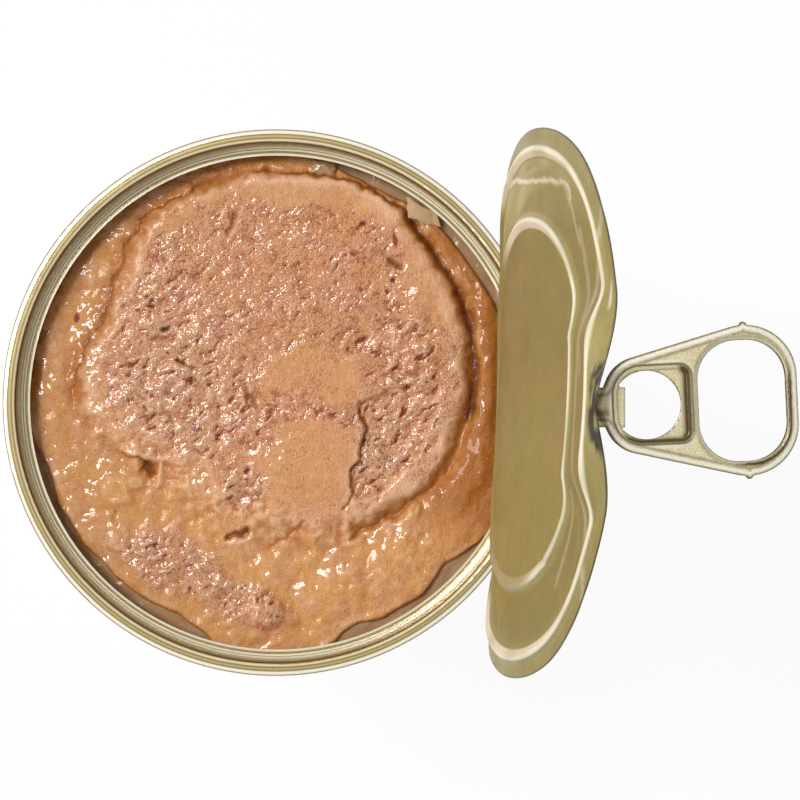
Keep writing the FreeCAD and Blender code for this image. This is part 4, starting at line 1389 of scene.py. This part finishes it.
        # Shreds lie mostly one way, as the lid's edge dragged them.
        turn = math.radians(self.shred_bearing)
        c, s = math.cos(turn), math.sin(turn)
        wx, wy = x + 0.9 * fractal(x, y, 6.0, 3, 11), y + 0.9 * fractal(x, y, 6.0, 3, 12)
        along, across = (wx * c + wy * s) / 1.9, wy * c - wx * s
        flakes = terraced(fractal(along, across, 3.6, 4, 21), 4.0, 0.5)
        z += tear * (0.42 * flakes + 0.24 * fractal(along, across, 1.4, 3, 22)
                     + 0.1 * fractal(x, y, 0.7, 2, 23))
        z += (1 - tear) * (0.16 * cloud + 0.07 * fractal(x, y, 2.2, 3, 32))
        z += 0.14 * (1 - tear) * east * fractal(x, y, 3.2, 3, 36)
        lip = smooth((-inside - 1.7) / 1.0) * np.interp(bearing, *zip(*self.lip_share))
        z += (1 - high) * (1 - 0.75 * lip) * (0.3 * fractal(x, y, 6.5, 3, 33)
                                              + 0.16 * fractal(x, y, 2.6, 2, 34))
        # Pits and nicks where single shreds pulled out.
        pits = smooth((fractal(along, across, 1.5, 3, 24) - 0.5) / 0.3)
        nicks = smooth((fractal(along * 0.45, across, 0.9, 2, 25) - 0.62) / 0.25)
        cracks = smooth(1 - np.abs(fractal(along, across, 6.5, 3, 26)) / 0.045)
        cracks *= smooth(fractal(x, y, 4.0, 2, 27) / 0.4)
        raw = pink * np.max([pits * (0.3 + 0.7 * tear), nicks * (0.5 + 0.5 * tear),
                             0.8 * cracks], axis=0)
        z -= 0.36 * raw
        stain = np.zeros_like(x)
        bent_x = x + 0.55 * fractal(x, y, 3.4, 3, 43)
        bent_y = y + 0.55 * fractal(x, y, 3.4, 3, 44)
        for crease in self.creases:
            pressed = crease.press(bent_x, bent_y)
            z -= crease.deep * pressed
            stain = np.maximum(stain, crease.stain * pressed)
        # Where the meat ends, it drops away under the jelly.
        # The lip browns, partly as painted shade beside the lid.
        stain = np.maximum(stain, 0.5 * lip)
        # Painted shadow of the wall, laid in as dark brown.
        shade = (smooth((np.hypot(x, y) - 44.0) / 5.0)
                 * np.interp(bearing, *zip(*self.wall_shade)))
        stain = np.maximum(stain, shade)
        z += 0.35 * lip
        stain = np.maximum(stain, 0.12 * (1 - high) * smooth(0.4 - 0.9 * cloud))
        edge = np.interp(bearing, *zip(*self.meat_edge))
        beyond = np.hypot(x, y) - edge - 0.3 * wander
        ends = smooth(beyond / 1.3)
        z -= ends * (z - (self.low - self.edge_drop))
        stain = np.maximum(stain, 0.45 * np.exp(-((beyond - 0.3) / 0.9) ** 2))
        shoulder = np.exp(-((inside - 2.4) / 1.6) ** 2) * smooth((x - 12.0) / 10.0)
        fat = 0.5 * np.maximum(self.lumps[0].cover(x, y, 0.15), self.lumps[1].cover(x, y, 0.1))
        # Rendered fat yellows the smeared outer parts in clouds.
        fat = np.maximum(fat, 0.62 * (1 - high) * (1 - pink) * smooth(0.5 + 1.0 * wander))
        clusters = smooth(fractal(x, y, 4.5, 3, 35) / 0.5 + 0.45)
        west = smooth((4.0 - x) / 22.0)
        shine = np.clip(0.3 * pink + tear * clusters * (0.6 + 0.7 * west), 0.0, 1.0)
        # Paler tone on the right shoulder and the sunk part; the west term is a painted sheen where
        # the torn part glints most.
        pale = 0.34 * shoulder + 0.3 * sunk + 0.16 * west * tear
        bloody = np.max([patch.cover(x, y, 0.3) for patch in self.blood], axis=0)
        soaked = np.max([patch.cover(x, y, 0.4) for patch in self.wet], axis=0)
        return {"z": z, "pink": pink, "stain": stain, "pale": pale, "fat": fat,
                "raw": np.maximum(0.8 * raw * (1 - ends), bloody),
                "wet": np.maximum(shine, soaked)}

    def build(self) -> bpy.types.Object:
        """Model the loaf's top, its skirt and its underside.

        Returns:
            The new piece.
        """
        bm = bmesh.new()
        bmesh.ops.create_grid(bm, x_segments=self.cells, y_segments=self.cells, size=1.0)
        top = len(bm.verts)
        rim = [e for e in bm.edges if e.is_boundary]
        skirt = bmesh.ops.extrude_edge_only(bm, edges=rim)["geom"]
        lower = [v for v in skirt if isinstance(v, bmesh.types.BMVert)]
        bmesh.ops.translate(bm, verts=lower, vec=(0, 0, -1))
        low_edges = [e for e in bm.edges if e.is_boundary]
        bmesh.ops.contextual_create(bm, geom=low_edges)
        bmesh.ops.recalc_face_normals(bm, faces=bm.faces[:])
        kept: dict[str, Array] = {}

        def place(flat: Array) -> Array:
            """Round the square grid off to the bore and raise the relief.

            Args:
                flat: Corners (n, 3) of the square grid.

            Returns:
                Their places in mm.
            """
            u, v = flat[:, 0], flat[:, 1]
            x = self.reach * u * np.sqrt(1 - v * v / 2)
            y = self.reach * v * np.sqrt(1 - u * u / 2)
            found = self.surface(x, y)
            kept.update(found)
            z = np.where(flat[:, 2] < -0.5, self.low - self.skirt, found["z"])
            return np.stack([x, y, z], axis=1)

        piece = mesh_object("loaf_top", bm, place, self.finish.build())
        side = round(math.sqrt(top))
        relief = kept["z"][:top].reshape(side, side)
        # Painted highlight on crests and painted shade in hollows, from the relief's curvature,
        # with the pale tone added.
        crest = 0.5 + 1.6 * (relief - blurred(relief, 3)) + 0.5 * (relief - blurred(relief, 9))
        crest = np.concatenate([crest.ravel(), np.full(len(kept["z"]) - top, 0.5)])
        paint(piece.data, "Flesh", (kept["pink"], kept["stain"], crest + kept["pale"]))
        paint(piece.data, "Spots", (kept["fat"], kept["raw"], kept["wet"]))
        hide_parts("meat_loaf")
        return piece


@dataclass(frozen=True)
class JellyScrap:
    """A torn scrap of set jelly skin, lying from the meat to the wall.

    The scrap is drawn by its four corners, and thins towards its edges.
    """

    name: str
    corners: tuple[Triple, Triple, Triple, Triple]
    thick: float = 0.5
    ragged: float = 0.35
    finish: MeatJelly = MeatJelly()

    def build(self) -> bpy.types.Object:
        """Draw the grid out to its corners and puff it up.

        Returns:
            The new piece.
        """
        bm = bmesh.new()
        bmesh.ops.create_grid(bm, x_segments=40, y_segments=24, size=0.5)
        bmesh.ops.solidify(bm, geom=bm.faces[:], thickness=0.1)
        bmesh.ops.recalc_face_normals(bm, faces=bm.faces[:])

        def place(flat: Array) -> Array:
            """Stretch to the corners, thin the edges and ruffle the sheet.

            Args:
                flat: Corners (n, 3) of the flat sheet.

            Returns:
                Their places in mm.
            """
            u, v = flat[:, 0] + 0.5, flat[:, 1] + 0.5
            a, b, c, d = (np.array(corner) for corner in self.corners)
            at = (np.outer((1 - u) * (1 - v), a) + np.outer(u * (1 - v), b)
                  + np.outer(u * v, c) + np.outer((1 - u) * v, d))
            near_edge = np.minimum(np.minimum(u, 1 - u), np.minimum(v, 1 - v))
            puff = np.sqrt(np.clip(near_edge * 2, 0.0, 1.0))
            x, y = at[:, 0], at[:, 1]
            at[:, 0] += self.ragged * fractal(x, y, 2.4, 3, 81)
            at[:, 1] += self.ragged * fractal(x, y, 2.4, 3, 82)
            upper = flat[:, 2] > flat[:, 2].mean()
            at[:, 2] += np.where(upper, 1.0, -0.3) * self.thick * puff
            at[:, 2] += 0.16 * fractal(x, y, 3.0, 3, 83)
            return at

        return mesh_object(self.name, bm, place, self.finish.build())


@dataclass(frozen=True)
class JellyCollar:
    """Jelly between the loaf and the wall."""

    top: float = 109.9
    inner_r: float = 39.5
    floor: float = 104.0
    columns: int = 360
    finish: MeatJelly = MeatJelly()

    def build(self) -> bpy.types.Object:
        """Spin the collar's section and dimple its surface.

        Returns:
            The new piece.
        """
        bm = bmesh.new()
        section = [(self.inner_r, self.floor), (self.inner_r, self.top - 1.2),
                   (WALL_R, self.top), (WALL_R, self.floor)]
        verts = [bm.verts.new((r, 0, z)) for r, z in section]
        edges = [bm.edges.new(pair) for pair in zip(verts, verts[1:] + verts[:1])]
        bmesh.ops.subdivide_edges(bm, edges=[edges[1]], cuts=22)
        bmesh.ops.spin(bm, geom=bm.verts[:] + bm.edges[:], cent=(0, 0, 0), axis=(0, 0, 1),
                       angle=2 * math.pi, steps=self.columns, use_merge=True)
        bmesh.ops.recalc_face_normals(bm, faces=bm.faces[:])

        def place(at: Array) -> Array:
            """Level the top, draw it up the wall and dimple it.

            Args:
                at: Corners (n, 3) of the spun section, mm.

            Returns:
                Their places in mm.
            """
            x, y, z = at[:, 0], at[:, 1], at[:, 2]
            radius = np.hypot(x, y)
            level = (self.top - 1.2 * smooth((self.inner_r + 2.0 - radius) / 2.0)
                     + 0.55 * smooth((radius - 47.6) / 1.4)
                     + 0.25 * fractal(x, y, 4.0, 3, 51) + 0.06 * fractal(x, y, 1.2, 2, 52))
            upper = z > self.floor + 1.0
            return np.stack([x, y, np.where(upper, level, z)], axis=1)

        piece = mesh_object("jelly_collar", bm, place, self.finish.build())
        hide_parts("jelly")
        return piece


# ---- Studio --------------------------------------------------------------------
@dataclass(frozen=True)
class Studio:
    """Pale floor, soft light and the camera straight above."""

    camera_at: Triple = (23.36, 0.49, 569.0)
    lens: float = 107.7
    key_watts: float = 9.0
    key_size: float = 0.42
    key_bearing: float = 150.0
    key_height: float = 60.0
    fill_strength: float = 0.36
    box_watts: float = 4.5

    def seen_directly(self, tree: bpy.types.NodeTree) -> bpy.types.NodeSocket:
        """1 for rays from the camera, mirrors and glass, else 0.

        Args:
            tree: Node tree of a material or the world.

        Returns:
            The share as an output to link.
        """
        path = add_node(tree, "ShaderNodeLightPath")
        glossy = add_node(tree, "ShaderNodeMath",
                          {0: path.outputs["Is Camera Ray"], 1: path.outputs["Is Glossy Ray"]},
                          operation="MAXIMUM")
        both = add_node(tree, "ShaderNodeMath",
                        {0: glossy.outputs[0], 1: path.outputs["Is Transmission Ray"]},
                        operation="MAXIMUM")
        return both.outputs[0]

    def lay_floor(self) -> None:
        """Sheet of white paper: matt, so that only a faint shadow shows."""
        material, tree = start_material("white_paper_matt")
        paper = add_node(tree, "ShaderNodeBsdfDiffuse", {"Color": srgb("#F4F4F2")})
        bright = add_node(tree, "ShaderNodeEmission", {"Color": (1, 1, 1, 1), "Strength": 1.0})
        share = add_node(tree, "ShaderNodeMath",
                         {0: self.seen_directly(tree), 1: 0.93}, operation="MULTIPLY")
        mixed = add_node(tree, "ShaderNodeMixShader",
                         {0: share.outputs[0], 1: paper.outputs[0], 2: bright.outputs[0]})
        finish_material(tree, mixed.outputs[0])
        bm = bmesh.new()
        bmesh.ops.create_grid(bm, x_segments=2, y_segments=2, size=3.0)
        mesh = bpy.data.meshes.new("paper_floor")
        bm.to_mesh(mesh)
        bm.free()
        mesh.materials.append(material)
        floor = bpy.data.objects.new("paper_floor", mesh)
        bpy.context.scene.collection.objects.link(floor)

    def light(self) -> None:
        """Soft key from above one side, and even fill from all round."""
        world = bpy.data.worlds.new("soft_studio")
        bpy.context.scene.world = world
        world.use_nodes = True
        tree = world.node_tree
        tree.nodes.clear()
        fill = add_node(tree, "ShaderNodeBackground",
                        {"Color": (1, 1, 1, 1), "Strength": self.fill_strength})
        # Polished metal finds a dimmer ceiling overhead, between the lamps.
        way_up = add_node(tree, "ShaderNodeSeparateXYZ", {
            0: add_node(tree, "ShaderNodeTexCoord").outputs["Generated"]})
        ceiling = add_node(tree, "ShaderNodeMapRange",
                           {0: way_up.outputs["Z"], 1: 0.86, 2: 0.97, 3: 1.0, 4: 0.56})
        seen = add_node(tree, "ShaderNodeBackground",
                        {"Color": (1, 1, 1, 1), "Strength": ceiling.outputs[0]})
        mixed = add_node(tree, "ShaderNodeMixShader",
                         {0: self.seen_directly(tree), 1: fill.outputs[0], 2: seen.outputs[0]})
        add_node(tree, "ShaderNodeOutputWorld", {"Surface": mixed.outputs[0]})
        bearing, height = math.radians(self.key_bearing), math.radians(self.key_height)
        way = Vector((math.cos(height) * math.cos(bearing),
                      math.cos(height) * math.sin(bearing), math.sin(height)))
        lamp = bpy.data.lights.new("key", "AREA")
        lamp.energy, lamp.size, lamp.shape = self.key_watts, self.key_size, "DISK"
        low_way = Vector((-math.cos(math.radians(16.0)), 0.1, math.sin(math.radians(16.0))))
        box = bpy.data.lights.new("soft_box", "AREA")
        box.energy, box.shape, box.size, box.size_y = self.box_watts, "RECTANGLE", 1.0, 0.5
        for name, data, towards in (("key", lamp, way), ("soft_box", box, low_way)):
            stand = bpy.data.objects.new(name, data)
            stand.location = Vector((0, 0, CAN_HEIGHT * MM)) + towards * 1.1
            stand.rotation_euler = towards.to_track_quat("Z", "Y").to_euler()
            bpy.context.scene.collection.objects.link(stand)

    def aim_camera(self) -> None:
        """Camera straight above, between the can's axis and the pull."""
        data = bpy.data.cameras.new("camera")
        data.lens, data.sensor_width = self.lens, 36.0
        camera = bpy.data.objects.new("camera", data)
        camera.location = Vector(self.camera_at) * MM
        bpy.context.scene.collection.objects.link(camera)
        bpy.context.scene.camera = camera
        bpy.context.scene.view_settings.view_transform = "Standard"


def main() -> None:
    """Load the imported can, dress it and light it."""
    logging.basicConfig(level=logging.INFO, format="%(message)s")
    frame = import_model()
    studio = Studio()
    studio.aim_camera()
    studio.lay_floor()
    studio.light()
    LOG.info("dressed %s", CanShell().dress(frame["nodes"]))
    pull = RingPull().build(frame["nodes"]["pull_tab"])
    LOG.info("built %s with %d faces", pull.name, len(pull.data.polygons))
    skin = MeatJelly("set_jelly_skin", "#D8B88C", "#C29C6C")
    scraps = (
        JellyScrap("jelly_skin_flap", ((24.4, 39.0, 113.2), (25.2, 35.2, 111.9),
                                       (31.2, 33.4, 111.7), (30.6, 36.2, 112.6)), 0.3,
                   finish=skin),
        JellyScrap("jelly_blob_top", ((6.2, 43.9, 111.4), (10.8, 43.3, 111.2),
                                      (11.2, 46.6, 110.9), (6.6, 46.9, 111.0)), 1.1))
    for part in (PeeledLid(), MeatLoaf(), JellyCollar(), *scraps):
        piece = part.build()
        LOG.info("built %s: %d faces", piece.name, len(piece.data.polygons))


if __name__ == "__main__":
    main()
